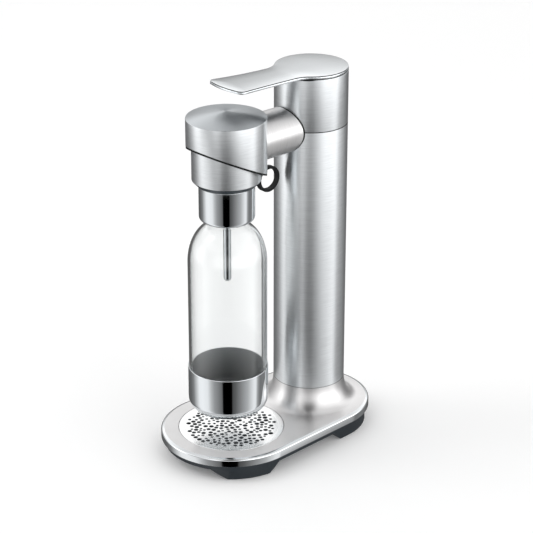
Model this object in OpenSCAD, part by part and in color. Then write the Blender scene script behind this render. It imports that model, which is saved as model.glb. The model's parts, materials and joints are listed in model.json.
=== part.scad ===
// Sparkling water maker with a press lever, a tilting bottle holder and a gas cylinder in its column.
// Millimetres. Origin: middle of the footprint on the worktop. +Z up, the bottle stands towards -Y.

/* [Base] */
// Radius of the base's rounded front end
base_front_r = 76; // [72:0.5:80]
// Radius of the base's rounded rear end
base_rear_r = 68.5; // [66:0.5:72]
// Distance between the centres of the two rounded ends
base_span = 110.5; // [108:0.5:114]
// Height of the deck above the worktop
deck_z = 27; // [26:0.5:30]
// Height of the polished band's lower edge
band_z = 17.5; // [16:0.5:19]
// Height of the arches between the feet
arch_h = 11; // [8:0.5:12]
// Thickness of the sheet steel covers
sheet_t = 1.2; // [0.8:0.1:1.6]

/* [Drip tray] */
// Outer radius of the grille
grille_r = 56.9; // [54:0.1:58]
// Width of the grille's plain rim
grille_rim = 6.9; // [6:0.1:12]
// Number of drain holes
hole_count = 215; // [60:1:230]
// Depth of the drip bowl
bowl_depth = 11; // [8:0.5:12]

/* [Column] */
// Distance from the column's axis to the bottle's axis
reach = 116.2; // [112:0.2:120]
// Outer radius of the column
column_r = 39; // [38:0.5:42]
// Height of the joint between the flared foot and the tube
flare_z = 53.4; // [50:0.2:58]
// Height of the upper housing's rim above the worktop
housing_z = 407.2; // [400:0.2:415]
// Height of the upper housing
upper_h = 57.1; // [52:0.1:62]

/* [Arm and head] */
// Outer radius of the horizontal arm
arm_r = 24.7; // [22:0.1:25]
// Distance from the column's rim down to the arm's axis
arm_drop = 58.2; // [57.8:0.1:61]
// Outer radius of the head
head_r = 41.7; // [41:0.1:44]
// Height of the head's rim above the arm's axis
head_rise = 31.6; // [30:0.2:34]
// Rise of the head's domed lid
dome_h = 6.9; // [4:0.1:7.5]
// Height of the slanted skirt at the back
skirt_back_h = 68.2; // [66:0.1:75]
// Height of the slanted skirt at the front
skirt_front_h = 28; // [27.6:0.1:36]

/* [Bottle holder] */
// Outer radius of the tilting bottle holder
holder_r = 36.2; // [35:0.1:36.4]
// Height of the tilting axis above the arm's axis
tilt_rise = 1; // [0:0.1:2]
// Height of the holder's straight side
holder_h = 35.6; // [33:0.2:37]
// Height of the holder's bevel
bevel_h = 5.4; // [4.6:0.1:5.6]
// Outer radius of the pull ring
ring_r = 14.2; // [12:0.1:15]
// Outer radius of the carbonating wand
wand_r = 4; // [3:0.1:5]
// Length of the wand
wand_l = 130; // [110:1:140]

/* [Bottle] */
// Outer radius of the bottle
bottle_r = 41.65; // [40:0.05:43]
// Thickness of the bottle's wall
bottle_wall = 2.6; // [2:0.1:4]
// Radius of the bottle's neck
neck_r = 16; // [15:0.1:17]
// Distance from the holder's bevel down to the bottle's mouth
mouth_drop = 5; // [4:0.5:7]
// Outer radius of the steel collar
collar_r = 29.2; // [28:0.1:29.8]
// Distance from the bottle's mouth down to the collar's lower edge
collar_drop = 34; // [32:0.5:36]
// Height of the cup's underside
cup_low_z = 52.3; // [50:0.1:56]
// Height of the cup
cup_h = 50.1; // [43:0.1:58]
// Thickness of the cup's sheet
cup_wall = 0.9; // [0.6:0.1:1.2]

/* [Lever] */
// Gap between the column's rim and the lever
lever_gap = 0.8; // [0.6:0.1:1.8]
// Height of the lower shell's lip
lever_lip = 3.2; // [2.8:0.1:4]
// Thickness of the lever's top plate
plate_t = 1.1; // [0.8:0.1:1.5]
// Rise of the handle from the column to its tip
handle_rise = 3.2; // [1:0.1:4]
// Width of the handle at its tip
tip_w = 52; // [46:1:56]
// Width of the handle at its waist
waist_w = 44; // [36:1:46]
// Depth of the lever's pivot under the column's rim
pivot_drop = 7.2; // [6.2:0.1:8.2]

/* [Gas cylinder] */
// Radius of the gas cylinder
cylinder_r = 30; // [28:0.5:30]
// Height of the cylinder's underside
cylinder_low_z = 14; // [12:0.5:18]

/* [Hidden] */

$fn = 96;
fine = 180;
small = 32;

// Overrun of every cut, and the overlap of solids that are joined
overrun = 5;
joined = 0.01;

// Play of turning pins, gap at seats, and gap at the visible joint lines
pin_play = 0.05;
seat_gap = 0.2;
joint_line = 0.1;

// Heights, each from the column's rim down, and from the cup's underside up
seam_z = housing_z - upper_h;
lever_low_z = housing_z + lever_gap;
pivot_z = housing_z - pivot_drop;
arm_z = housing_z - arm_drop;
head_z = arm_z + head_rise;
skirt_low_z = head_z - skirt_back_h;
skirt_high_z = head_z - skirt_front_h;
tilt_z = arm_z + tilt_rise;
holder_low_z = tilt_z - holder_h;
bevel_low_z = holder_low_z - bevel_h;
mouth_z = bevel_low_z - mouth_drop;
collar_low_z = mouth_z - collar_drop;
cup_top_z = cup_low_z + cup_h;

// Places along the footprint, which is centred on the origin
column_set_back = 2;
base_half = (base_front_r + base_span + base_rear_r) / 2;
front_y = base_front_r - base_half;
rear_y = base_half - base_rear_r;
column_y = rear_y + column_set_back;
bottle_y = column_y - reach;

// Base cover
bevel_w = 3.5;
bevel_drop = 1;
deck_t = 2;
rim_z = deck_z - bevel_drop;
tray_gap = 0.4;
tray_hole_r = grille_r + tray_gap;
flare_margin = 0.6;
flare_w = column_y - column_r - front_y - tray_hole_r - flare_margin;
flare_steps = 24;
deck_hole_margin = 2;

// Base chassis, its feet and its arches, whose corners are shares of the end radii
band_inset = 4;
chassis_wall = 3;
chassis_floor_t = 2.5;
chassis_floor_z = arch_h + chassis_floor_t;
front_arch_shares = [0.70, 0.50];
rear_arch_shares = [0.63, 0.50];
side_front_shares = [-0.11, 0.085];
side_rear_shares = [-0.13, -0.23];
hatch_play = 1.2;
foot_r = 5.5;
foot_t = 2;
foot_stand = 0.8;
foot_inset = 12;
front_foot_angle = 69.5;
rear_foot_angle = 63.5;
front_foot_circle = base_front_r - foot_inset;
rear_foot_circle = base_rear_r - foot_inset;
foot_places = [for (side = [-1, 1]) each [
    [side * front_foot_circle * sin(front_foot_angle), front_y - front_foot_circle * cos(front_foot_angle)],
    [side * rear_foot_circle * sin(rear_foot_angle), rear_y + rear_foot_circle * cos(rear_foot_angle)]]];

// Spine in the column and the screws that hold it to the chassis
column_in_r = column_r - sheet_t;
spine_gap = 1.8;
spine_r = column_in_r - spine_gap;
spine_foot_spread = 3;
spine_foot_r = column_r + spine_foot_spread;
spine_foot_t = 4;
guide_t = 6;
carrier_t = 5;
guide_share = 0.43;
guide_z = flare_z + guide_share * (seam_z - flare_z);
cylinder_play = 0.6;
cylinder_guide_r = cylinder_r + cylinder_play;
rail_t = 3.4;
rail_w = 13;
rail_inset = 2.2;
rail_x = spine_r - rail_t / 2 - rail_inset;
base_screw_r = 1.5;
base_screw_head_r = 2.8;
base_screw_head_t = 2;
base_screw_sink = 1;
key_r = 1.2;
key_depth = 1;
base_screw_inset = 2;
base_screw_circle = column_r - base_screw_inset;
base_screw_places = [for (a = [30 : 60 : 330])
    [base_screw_circle * cos(a), column_y + base_screw_circle * sin(a)]];

// Drip tray
grille_t = 1.4;
grille_proud = 0.2;
grille_low_z = deck_z + grille_proud - grille_t;
bowl_clear = 2;
bowl_wall = 1.4;
bowl_floor_t = 1.2;
golden_angle = 137.508;
perforated_r = grille_r - grille_rim;
hole_least_r = 0.8;
hole_spread_r = 1.35;
hole_mix_angle = 78.233;
hole_mix_power = 0.9;
hole_start = 0.6;

// Lever works on the column's axis, from the pivot down to the cylinder's neck
pin_r = 2;
pivot_inset = 8.5;
pivot_y = column_y - column_r + pivot_inset;
rocker_reach = 16;
rocker_y = column_y - rocker_reach;
rocker_drop = 22;
rocker_z = pivot_z - rocker_drop;
rocker_boss_r = 5;
rocker_arm_t = 4;
rocker_w = 11;
rocker_arm_w = 8;
horn_set = 6.5;
horn_t = 5;
nose_drop = 10;
nose_z = pivot_z - nose_drop;
nose_t = 4;
nose_gap = 1;
boss_clear = 0.8;
push_gap = 0.2;

// Pivot bracket
bracket_x = 11;
bracket_t = 3;
bracket_floor_t = 2.8;
bracket_floor_r = 30;
bracket_root = 16;
pivot_boss_r = 4.2;
slot_gap = 1;
bracket_z = rocker_z - rocker_boss_r - boss_clear;
bracket_screw_r = 1.5;
bracket_screw_head_r = 2.8;
bracket_screw_head_t = 1.8;
bracket_screw_inset = 4;
bracket_screw_circle = bracket_floor_r - bracket_screw_inset;
bracket_screw_angles = [60, 120, 240, 300];

// Valve connector, cylinder valve and pins
connector_r = 18;
connector_top_z = bracket_z - seat_gap;
connector_roof = 7;
connector_flange_inset = 1;
connector_flange_r = bracket_floor_r - connector_flange_inset;
connector_flange_t = 4;
valve_r = 10.5;
valve_play = 0.08;
valve_sink = 12;
valve_top_z = connector_top_z - valve_sink;
valve_overlap = 22;
connector_low_z = valve_top_z - valve_overlap;
connector_flange_rise = 7.5;
connector_flange_z = connector_low_z + connector_flange_rise;
valve_show = 4;
valve_low_z = connector_low_z - valve_show;
valve_bore_l = 20;
valve_bore_z = valve_top_z - valve_bore_l;
valve_pin_r = 1.5;
valve_pin_rise = 3.3;
valve_pin_length = 18.3;
seal_r = 9;
seal_bore_r = 3;
seal_t = 3;
push_pin_low_z = valve_top_z + valve_pin_rise + push_gap;
push_pin_top_z = rocker_z - rocker_arm_t / 2 - push_gap;

// Gas cylinder
cylinder_corner = 8;
cylinder_neck_r = 12.5;
cylinder_shoulder = 34;
cylinder_neck_h = 38;
cylinder_body_top_z = valve_low_z - cylinder_neck_h;
cylinder_wall = 4;
shoulder_sweep = 60;

// Gas hose in the arm
hose_r = 2.5;
hose_bore_r = 1.2;
hose_margin = 2;
hose_z = arm_z + arm_r - sheet_t - hose_r - hose_margin;
nipple_r = 3.2;
nipple_l = 6;

// Head
head_wall = 1.3;
head_in_r = head_r - head_wall;
skirt_mid_z = (skirt_low_z + skirt_high_z) / 2;
skirt_angle = atan2(skirt_high_z - skirt_low_z, 2 * head_r);
lid_t = 1.5;
lid_lip_t = 2.9;
lid_lip_drop = 0.9;
lid_lip_h = 2.2;
block_t = 4.4;
block_drop = 5.6;
block_z = head_z - block_drop;
ear_gap = 1.3;
ear_t = 2;
ear_w = 12;
ear_drop = 6;
tilt_pin_r = 2.5;
tilt_pin_l = 12.8;
tilt_pin_inset = 3;
tilt_pin_x = holder_r - tilt_pin_inset;
port_gap = 0.6;
port_w = 10;
port_drop = 3.5;

// Bottle holder
holder_wall = 1.5;
holder_crown = 16;
holder_top_z = tilt_z + holder_crown;
bevel_draw = 5.2;
bevel_low_r = holder_r - bevel_draw;
nozzle_r = 23.9;
nozzle_rise = 2;
nozzle_top_z = tilt_z + nozzle_rise;
nozzle_bar = 10;
nozzle_bar_w = 12;
bar_margin = 0.5;
nozzle_recess = 2.5;
thread_ring_r = 21;
thread_ring_h = 19;
thread_ring_low_z = bevel_low_z - thread_ring_h;
neck_play = 0.08;
gasket_bore = 4;
wand_bore_r = 2;
wand_drop = 20;
wand_top_z = tilt_z - wand_drop;
wand_tip_z = wand_top_z - wand_l;
wand_tip_l = 8;
wand_jet_r = 0.6;
recess_z = bevel_low_z + nozzle_recess;

// Relief valve in the nozzle block
relief_x = 12;
relief_r = 3.2;
relief_h = 24;
relief_bore_r = 2.2;
relief_floor = 3;
relief_seat_r = 0.8;
relief_drop = 12;
relief_low_z = tilt_z - relief_drop;
poppet_lift = 0.2;
poppet_t = 3;
poppet_stem_r = 0.9;
poppet_h = 19;
relief_spring_r = 2;
relief_spring_bore_r = 1.3;
relief_spring_h = 15;
relief_spring_rise = 8.5;

// Pull ring and its hinge on the bevel
ring_w = 5;
ring_band = 3.1;
ring_hole_r = ring_r - ring_band;
ring_hinge_y = bottle_y + holder_r;
ring_drop = 6;
ring_hinge_z = bevel_low_z - ring_drop;
ring_neck = 5.6;
ring_sag = 3;
ring_centre_y = ring_hinge_y + ring_neck + ring_r;
ring_centre_z = ring_hinge_z - ring_sag;
ring_link_h = 3.6;
ring_link_short = 1;
ring_eye_r = 2.8;
ring_pin_r = 1.2;
ring_ear_r = 3;
ring_ear_t = 2;
ring_ear_gap = 0.4;
ring_ear_x = ring_w / 2 + ring_ear_gap + ring_ear_t / 2;
ring_root = 4;

// Bottle
shoulder_drop = 48;
shoulder_z = collar_low_z - shoulder_drop;
shoulder_w = 29;
shoulder_h = 44;
shoulder_end = 83;
neck_blend = 2;
cup_corner = 14;
cup_gap = 0.15;
cup_r = bottle_r + cup_gap + cup_wall;
floor_round_slack = 1;
floor_round = cup_corner - floor_round_slack;
glass_floor_gap = 0.6;
glass_low_z = cup_low_z + cup_wall + glass_floor_gap;
collar_wall = 1.5;
collar_corner = 4;
collar_floor = 2;
collar_top_gap = 0.6;
collar_clear = 0.8;

// Lever
hub_half = 7;
hub_r = 4.5;
hub_web = 6;
hub_shift = 4;
hub_block = 9;
crank_half = 5;
hub_plate_l = 34;
hub_plate_t = 2.2;
hub_plate_sink = 0.6;
lever_spring_r = 4;
lever_spring_bore_r = 2.2;
lever_spring_l = 3;
lever_screw_r = 1.25;
lever_screw_head_r = 2.5;
lever_screw_head_t = 1.6;
lever_screw_l = 4.6;
lever_screw_x = 4;
lever_screw_near = 12;
lever_screw_far = 24;
lever_screw_places = [[-lever_screw_x, pivot_y + lever_screw_near],
    [lever_screw_x, pivot_y + lever_screw_near],
    [0, pivot_y + lever_screw_far]];
shell_wall = 2;
shell_roof = 1.4;
plate_inset = 0.4;
tip_reach = 3;
tip_y = bottle_y - tip_reach;
tip_corner = 7;
tip_bow = 2.5;
blend_r = 26;
notch_drop = 1.6;
notch_half = 30;
notch_back = 10;

// Rounded slab over the whole footprint, drawn in from its edge
module base_slab(inset, low, high) {
    hull() {
        translate([0, front_y, low]) cylinder(r = base_front_r - inset, h = high - low);
        translate([0, rear_y, low]) cylinder(r = base_rear_r - inset, h = high - low);
    }
}

module on_column(z = 0) { translate([0, column_y, z]) children(); }
module on_bottle(z = 0) { translate([0, bottle_y, z]) children(); }

// A tube standing on the ground
module tube(outer, inner, h) {
    difference() {
        cylinder(r = outer, h = h);
        translate([0, 0, -overrun]) cylinder(r = inner, h = h + 2 * overrun);
    }
}

// A cylinder along X, centred on the origin
module cross_cylinder(r, length) { rotate([0, 90, 0]) cylinder(r = r, h = length, center = true, $fn = 48); }

// A cylinder from the origin along +Y
module long_cylinder(r, length) { rotate([-90, 0, 0]) cylinder(r = r, h = length); }

// Concave flare between the deck and the column, set in by d
function flare_curve(d) = [for (i = [0 : flare_steps]) let (a = 90 * i / flare_steps)
    [column_r + flare_w * (1 - sin(a)) - d, flare_z - (flare_z - deck_z) * cos(a) - d * cos(a)]];

module flare() {
    outer = flare_curve(0);
    inner = flare_curve(sheet_t);
    on_column() rotate_extrude() polygon(concat(outer, [for (i = [flare_steps : -1 : 0]) inner[i]]));
}

// One end of the deck's bevel
module bevel_end(y, r) {
    translate([0, y, rim_z - joined]) cylinder(r1 = r, r2 = r - bevel_w, h = bevel_drop + joined);
}

module base_plate() {
    color([0.80, 0.80, 0.80]) {
        difference() {
            union() {
                base_slab(0, band_z, rim_z);
                hull() {
                    bevel_end(front_y, base_front_r);
                    bevel_end(rear_y, base_rear_r);
                }
            }
            base_slab(sheet_t, band_z - overrun, deck_z - deck_t);
            translate([0, front_y, band_z]) cylinder(r = tray_hole_r, h = deck_z);
            on_column(band_z) cylinder(r = column_r + flare_w - deck_hole_margin, h = deck_z);
        }
        flare();
    }
}

// Bar under the base with slanted ends, which leaves an arch; it runs along Y over the stated length
module arch_cut(low_a, low_b, top_a, top_b, length) {
    translate([0, length, 0]) rotate([90, 0, 0]) linear_extrude(length)
        polygon([[low_a, 0], [low_b, 0], [top_b, arch_h], [top_a, arch_h]]);
}

module base_chassis() {
    top_z = deck_z - deck_t - seat_gap;
    front_w = base_front_r * front_arch_shares;
    rear_w = base_rear_r * rear_arch_shares;
    side_front = [for (s = side_front_shares) front_y + s * base_front_r];
    side_rear = [for (s = side_rear_shares) rear_y + s * base_rear_r];
    color([0.24, 0.27, 0.30]) difference() {
        union() {
            base_slab(band_inset, foot_stand, band_z - joint_line);
            base_slab(sheet_t + seat_gap, band_z - seat_gap, top_z);
        }
        base_slab(band_inset + chassis_wall, chassis_floor_z, deck_z);
        translate([0, -base_half, 0]) arch_cut(-front_w[0], front_w[0], -front_w[1], front_w[1], base_half);
        arch_cut(-rear_w[0], rear_w[0], -rear_w[1], rear_w[1], base_half);
        rotate([0, 0, 90]) translate([0, -base_half, 0])
            arch_cut(side_front[0], side_rear[0], side_front[1], side_rear[1], 2 * base_half);
        on_column(-overrun) cylinder(r = cylinder_r + hatch_play, h = deck_z);
        for (p = foot_places) translate([p[0], p[1], -overrun]) cylinder(r = foot_r, h = overrun + foot_t);
        for (p = base_screw_places) translate([p[0], p[1], 0]) {
            cylinder(r = base_screw_r, h = deck_z, $fn = small);
            cylinder(r = base_screw_head_r + seat_gap, h = arch_h + base_screw_sink, $fn = small);
        }
    }
}

module rubber_feet() {
    color([0.08, 0.08, 0.09]) for (p = foot_places)
        translate([p[0], p[1], 0]) cylinder(r = foot_r, h = foot_t);
}

module base_screws() {
    shank = base_screw_head_t + chassis_floor_t + spine_foot_t - 2 * base_screw_sink;
    color([0.55, 0.55, 0.57]) for (p = base_screw_places)
        translate([p[0], p[1], arch_h + base_screw_sink - base_screw_head_t]) {
            difference() {
                cylinder(r = base_screw_head_r, h = base_screw_head_t, $fn = small);
                translate([0, 0, -key_depth]) cylinder(r = key_r, h = 2 * key_depth, $fn = 6);
            }
            cylinder(r = base_screw_r, h = shank, $fn = small);
        }
}

module drip_bowl() {
    bowl_z = grille_low_z - bowl_depth;
    bowl_r = grille_r - bowl_clear;
    color([0.30, 0.31, 0.33]) translate([0, front_y, bowl_z]) difference() {
        cylinder(r = bowl_r, h = bowl_depth - joint_line);
        translate([0, 0, bowl_floor_t]) cylinder(r = bowl_r - bowl_wall, h = bowl_depth);
    }
}

// The numbered drain hole: small and large ones in an irregular order, on a spiral that fills the disc
function hole_size(i) = hole_least_r + hole_spread_r * pow(abs(sin(i * hole_mix_angle)), hole_mix_power);
function hole_reach(i) = perforated_r * sqrt((i + hole_start) / hole_count);

module drip_grille() {
    color([0.78, 0.79, 0.80]) translate([0, front_y, grille_low_z]) difference() {
        cylinder(r = grille_r, h = grille_t);
        for (i = [0 : hole_count - 1])
            rotate([0, 0, i * golden_angle]) translate([hole_reach(i), 0, -overrun])
                cylinder(r = hole_size(i), h = grille_t + 2 * overrun, $fn = 8);
    }
}

// Room for the arm's mouth in the column
module arm_mouth() {
    translate([0, column_y - column_r - overrun, arm_z]) long_cylinder(arm_r - sheet_t, column_r);
}

module column_tube() {
    color([0.74, 0.75, 0.76]) difference() {
        on_column(flare_z + joint_line) tube(column_r, column_in_r, seam_z - flare_z - 2 * joint_line);
        arm_mouth();
    }
}

module upper_housing() {
    color([0.74, 0.75, 0.76]) difference() {
        on_column(seam_z + joint_line) tube(column_r, column_in_r, housing_z - seam_z - joint_line);
        arm_mouth();
        translate([-notch_half, column_y - column_r - overrun, housing_z - notch_drop])
            cube([2 * notch_half, overrun + notch_back, overrun]);
    }
}

module arm_tube() {
    half_h = 2 * arm_r;
    color([0.72, 0.73, 0.74]) difference() {
        on_bottle(arm_z) difference() {
            long_cylinder(arm_r, reach);
            translate([0, -overrun, 0]) long_cylinder(arm_r - sheet_t, reach + 2 * overrun);
        }
        on_bottle(arm_z - half_h) cylinder(r = head_r, h = 2 * half_h);
        on_column(arm_z - half_h) cylinder(r = column_r, h = 2 * half_h);
    }
}

module head_housing() {
    slab = 4 * head_r;
    color([0.73, 0.74, 0.75]) difference() {
        on_bottle(skirt_low_z - overrun) tube(head_r, head_in_r, head_z - skirt_low_z + overrun);
        on_bottle(skirt_mid_z) rotate([-skirt_angle, 0, 0])
            translate([-slab / 2, -slab / 2, -slab]) cube(slab);
        on_bottle(arm_z) long_cylinder(arm_r - sheet_t, reach / 2);
    }
}

// Spherical lid with a lip inside the head
module head_lid() {
    lid_r = head_r - joint_line;
    ball_r = (lid_r * lid_r + dome_h * dome_h) / (2 * dome_h);
    color([0.70, 0.71, 0.72]) on_bottle(head_z) {
        difference() {
            intersection() {
                translate([0, 0, dome_h - ball_r]) sphere(r = ball_r, $fn = fine);
                cylinder(r = lid_r, h = dome_h + overrun);
            }
            translate([0, 0, dome_h - ball_r]) sphere(r = ball_r - lid_t, $fn = fine);
        }
        translate([0, 0, -lid_lip_drop]) tube(head_in_r - joint_line, head_in_r - lid_lip_t, lid_lip_h);
    }
}

// Carrier plate in the head with the two tilting ears and the gas port
module head_block() {
    block_r = head_in_r - seat_gap;
    ear_low_z = tilt_z - ear_drop;
    port_y = bottle_y + holder_r + port_gap;
    port_t = head_in_r - seat_gap - port_gap - holder_r - port_gap;
    color([0.20, 0.21, 0.23]) difference() {
        union() {
            on_bottle(block_z) cylinder(r = block_r, h = block_t);
            for (side = [-1, 1]) on_bottle() intersection() {
                translate([side * (holder_r + ear_gap + ear_t / 2), 0, (ear_low_z + block_z + joined) / 2])
                    cube([ear_t, ear_w, block_z + joined - ear_low_z], center = true);
                cylinder(r = block_r, h = head_z);
            }
            translate([-port_w / 2, port_y, hose_z - port_drop])
                cube([port_w, port_t, block_z + joined - hose_z + port_drop]);
        }
        on_bottle(tilt_z) cross_cylinder(tilt_pin_r, 2 * head_r);
        translate([0, port_y + port_t / 2, hose_z]) long_cylinder(hose_r, port_t, $fn = small);
    }
}

module tilt_pins() {
    color([0.75, 0.75, 0.76]) for (side = [-1, 1]) on_bottle(tilt_z)
        translate([side * tilt_pin_x, 0, 0]) cross_cylinder(tilt_pin_r, tilt_pin_l);
}

// Holder: a straight skirt under a dome that turns about the tilting axis
module holder_shell() {
    in_r = holder_r - holder_wall;
    color([0.75, 0.76, 0.77]) on_bottle() difference() {
        union() {
            translate([0, 0, holder_low_z]) cylinder(r = holder_r, h = tilt_z - holder_low_z);
            intersection() {
                translate([0, 0, tilt_z]) sphere(r = holder_r);
                translate([0, 0, tilt_z - joined]) cylinder(r = holder_r, h = holder_crown + joined);
            }
        }
        translate([0, 0, holder_low_z - overrun]) cylinder(r = in_r, h = tilt_z - holder_low_z + overrun);
        intersection() {
            translate([0, 0, tilt_z]) sphere(r = in_r);
            translate([0, 0, tilt_z - joined])
                cylinder(r = holder_r, h = joined + holder_crown - holder_wall);
        }
        translate([0, 0, tilt_z]) cross_cylinder(tilt_pin_r + pin_play, 2 * holder_r + overrun);
    }
}

// Dark bevel under the holder with the ears of the pull ring
module holder_bevel() {
    color([0.28, 0.30, 0.32]) difference() {
        union() {
            on_bottle(bevel_low_z)
                cylinder(r1 = bevel_low_r, r2 = holder_r - joint_line, h = holder_low_z - bevel_low_z);
            for (side = [-1, 1]) translate([side * ring_ear_x, 0, 0]) hull() {
                translate([0, ring_hinge_y, ring_hinge_z])
                    cross_cylinder(ring_ear_r, ring_ear_t, $fn = small);
                translate([0, bottle_y + bevel_low_r - ring_root / 2, bevel_low_z + ring_root / 2])
                    cube([ring_ear_t, ring_root, ring_root], center = true);
            }
        }
        on_bottle(bevel_low_z - overrun)
            cylinder(r = nozzle_r + joint_line, h = holder_low_z - bevel_low_z + 2 * overrun);
        on_bottle(bevel_low_z - 2 * overrun) cylinder(r = collar_r + collar_clear, h = 2 * overrun);
        translate([0, ring_hinge_y, ring_hinge_z]) cross_cylinder(ring_pin_r, 2 * ring_ear_x + overrun);
    }
}

module nozzle_block() {
    bar_l = 2 * (holder_r - 2 * holder_wall - bar_margin);
    color([0.16, 0.17, 0.18]) on_bottle() difference() {
        union() {
            translate([0, 0, bevel_low_z]) cylinder(r = nozzle_r, h = nozzle_top_z - bevel_low_z);
            translate([0, 0, nozzle_top_z - nozzle_bar / 2])
                cube([bar_l, nozzle_bar_w, nozzle_bar], center = true);
        }
        translate([0, 0, wand_tip_z]) cylinder(r = wand_r, h = wand_top_z - wand_tip_z);
        translate([0, 0, bevel_low_z - overrun]) cylinder(r = thread_ring_r, h = overrun + nozzle_recess);
        translate([0, 0, tilt_z]) cross_cylinder(tilt_pin_r + pin_play, 2 * holder_r + overrun);
        translate([relief_x, 0, relief_low_z]) cylinder(r = relief_r, h = relief_h + overrun, $fn = small);
    }
}

// Thread ring that takes the bottle's neck
module thread_ring() {
    color([0.70, 0.70, 0.71]) on_bottle(thread_ring_low_z)
        tube(thread_ring_r, neck_r + neck_play, recess_z - joint_line - thread_ring_low_z);
}

module bottle_gasket() {
    gasket_z = mouth_z + seat_gap;
    color([0.10, 0.10, 0.10]) on_bottle(gasket_z)
        tube(neck_r, wand_r + gasket_bore, recess_z - joint_line - gasket_z);
}

module wand_tube() {
    low_z = wand_tip_z + wand_tip_l;
    color([0.80, 0.81, 0.82]) on_bottle(low_z) tube(wand_r, wand_bore_r, wand_top_z - low_z);
}

module wand_tip() {
    color([0.80, 0.81, 0.82]) on_bottle(wand_tip_z) difference() {
        union() {
            translate([0, 0, wand_r]) sphere(r = wand_r, $fn = 48);
            translate([0, 0, wand_r]) cylinder(r = wand_r, h = wand_tip_l - wand_r);
        }
        translate([0, 0, -overrun]) cylinder(r = wand_jet_r, h = wand_tip_l + 2 * overrun, $fn = small);
    }
}

module on_relief(z) { translate([relief_x, bottle_y, relief_low_z + z]) children(); }

module relief_body() {
    color([0.72, 0.60, 0.30]) on_relief(0) difference() {
        cylinder(r = relief_r, h = relief_h, $fn = small);
        translate([0, 0, relief_floor]) cylinder(r = relief_bore_r, h = relief_h, $fn = small);
        translate([0, 0, -overrun]) cylinder(r = relief_seat_r, h = 2 * overrun, $fn = small);
    }
}

module relief_poppet() {
    color([0.65, 0.65, 0.66]) on_relief(relief_floor + poppet_lift) {
        cylinder(r = relief_bore_r - pin_play, h = poppet_t, $fn = small);
        cylinder(r = poppet_stem_r, h = poppet_h, $fn = small);
    }
}

module relief_spring() {
    color([0.60, 0.60, 0.61]) on_relief(relief_spring_rise)
        tube(relief_spring_r, relief_spring_bore_r, relief_spring_h);
}

module ring_pin() {
    color([0.60, 0.60, 0.61]) translate([0, ring_hinge_y, ring_hinge_z])
        cross_cylinder(ring_pin_r, 2 * ring_ear_x + ring_ear_t);
}

module release_ring() {
    link_l = ring_centre_y - ring_hinge_y - ring_hole_r - ring_link_short;
    color([0.10, 0.10, 0.11]) difference() {
        union() {
            translate([0, ring_centre_y, ring_centre_z]) cross_cylinder(ring_r, ring_w);
            translate([0, ring_hinge_y, ring_hinge_z]) cross_cylinder(ring_eye_r, ring_w);
            translate([-ring_w / 2, ring_hinge_y, ring_centre_z]) cube([ring_w, link_l, ring_link_h]);
        }
        translate([0, ring_centre_y, ring_centre_z]) cross_cylinder(ring_hole_r, 2 * ring_w);
        translate([0, ring_hinge_y, ring_hinge_z]) cross_cylinder(ring_pin_r + pin_play, 2 * ring_w);
    }
}

// Points of an elliptic arc about (x, y) with half axes a and b, from one angle to another
arc_steps = 12;
disc_steps = 24;
function arc_points(x, y, a, b, from, to) =
    [for (i = [0 : arc_steps]) let (t = from + (to - from) * i / arc_steps) [x + a * cos(t), y + b * sin(t)]];

// Outline of the bottle from the middle of its floor to its mouth, drawn in by d
function glass_outline(d) = concat(
    [[0, glass_low_z + d]],
    arc_points(bottle_r - floor_round, glass_low_z + floor_round, floor_round - d, floor_round - d, -90, 0),
    arc_points(bottle_r - shoulder_w, shoulder_z, shoulder_w - d, shoulder_h - d, 0, shoulder_end),
    [[neck_r - d, shoulder_z + shoulder_h + neck_blend], [neck_r - d, mouth_z + d], [0, mouth_z + d]]);

module bottle_glass() {
    color([0.85, 0.90, 0.92, 0.35]) on_bottle() rotate_extrude() difference() {
        polygon(glass_outline(0));
        polygon(glass_outline(bottle_wall));
    }
}

// Half section of a cylinder with a rounded lower edge
module round_bottomed(r, low, high, corner) {
    translate([0, low + corner]) square([r, high - low - corner]);
    translate([0, low]) square([r - corner, corner + joined]);
    intersection() {
        translate([r - corner, low + corner]) circle(r = corner);
        translate([0, low]) square([r, corner + joined]);
    }
}

module bottle_collar() {
    top_z = bevel_low_z - collar_top_gap;
    cut_h = top_z - collar_low_z + 2 * overrun;
    color([0.82, 0.83, 0.84]) on_bottle() rotate_extrude() difference() {
        round_bottomed(collar_r, collar_low_z, top_z, collar_corner);
        translate([0, collar_low_z - overrun]) square([neck_r + joint_line, cut_h]);
        translate([0, collar_low_z + collar_floor]) square([collar_r - collar_wall, cut_h]);
    }
}

module bottle_cup() {
    color([0.84, 0.85, 0.86]) on_bottle() rotate_extrude() difference() {
        round_bottomed(cup_r, cup_low_z, cup_top_z, cup_corner);
        round_bottomed(cup_r - cup_wall, cup_low_z + cup_wall, cup_top_z + overrun, cup_corner - cup_wall);
    }
}

// Skeleton of the column: foot ring, two rails, cylinder guide and the carrier of the valve connector
module spine_frame() {
    rail_h = connector_flange_z - chassis_floor_z;
    hatch_h = connector_low_z - carrier_t;
    color([0.55, 0.56, 0.58]) difference() {
        union() {
            on_column(chassis_floor_z) cylinder(r = spine_foot_r, h = spine_foot_t);
            on_column(guide_z) cylinder(r = spine_r, h = guide_t);
            on_column(connector_flange_z - carrier_t) cylinder(r = spine_r, h = carrier_t);
            for (side = [-1, 1]) on_column(chassis_floor_z + rail_h / 2) translate([side * rail_x, 0, 0])
                cube([rail_t, rail_w, rail_h], center = true);
        }
        on_column() cylinder(r = cylinder_guide_r, h = hatch_h);
        on_column(hatch_h - overrun) cylinder(r = connector_r + joint_line, h = housing_z - hatch_h);
        for (p = base_screw_places) translate([p[0], p[1], chassis_floor_z - overrun])
            cylinder(r = base_screw_r, h = overrun + spine_foot_t + overrun, $fn = small);
    }
}

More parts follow.
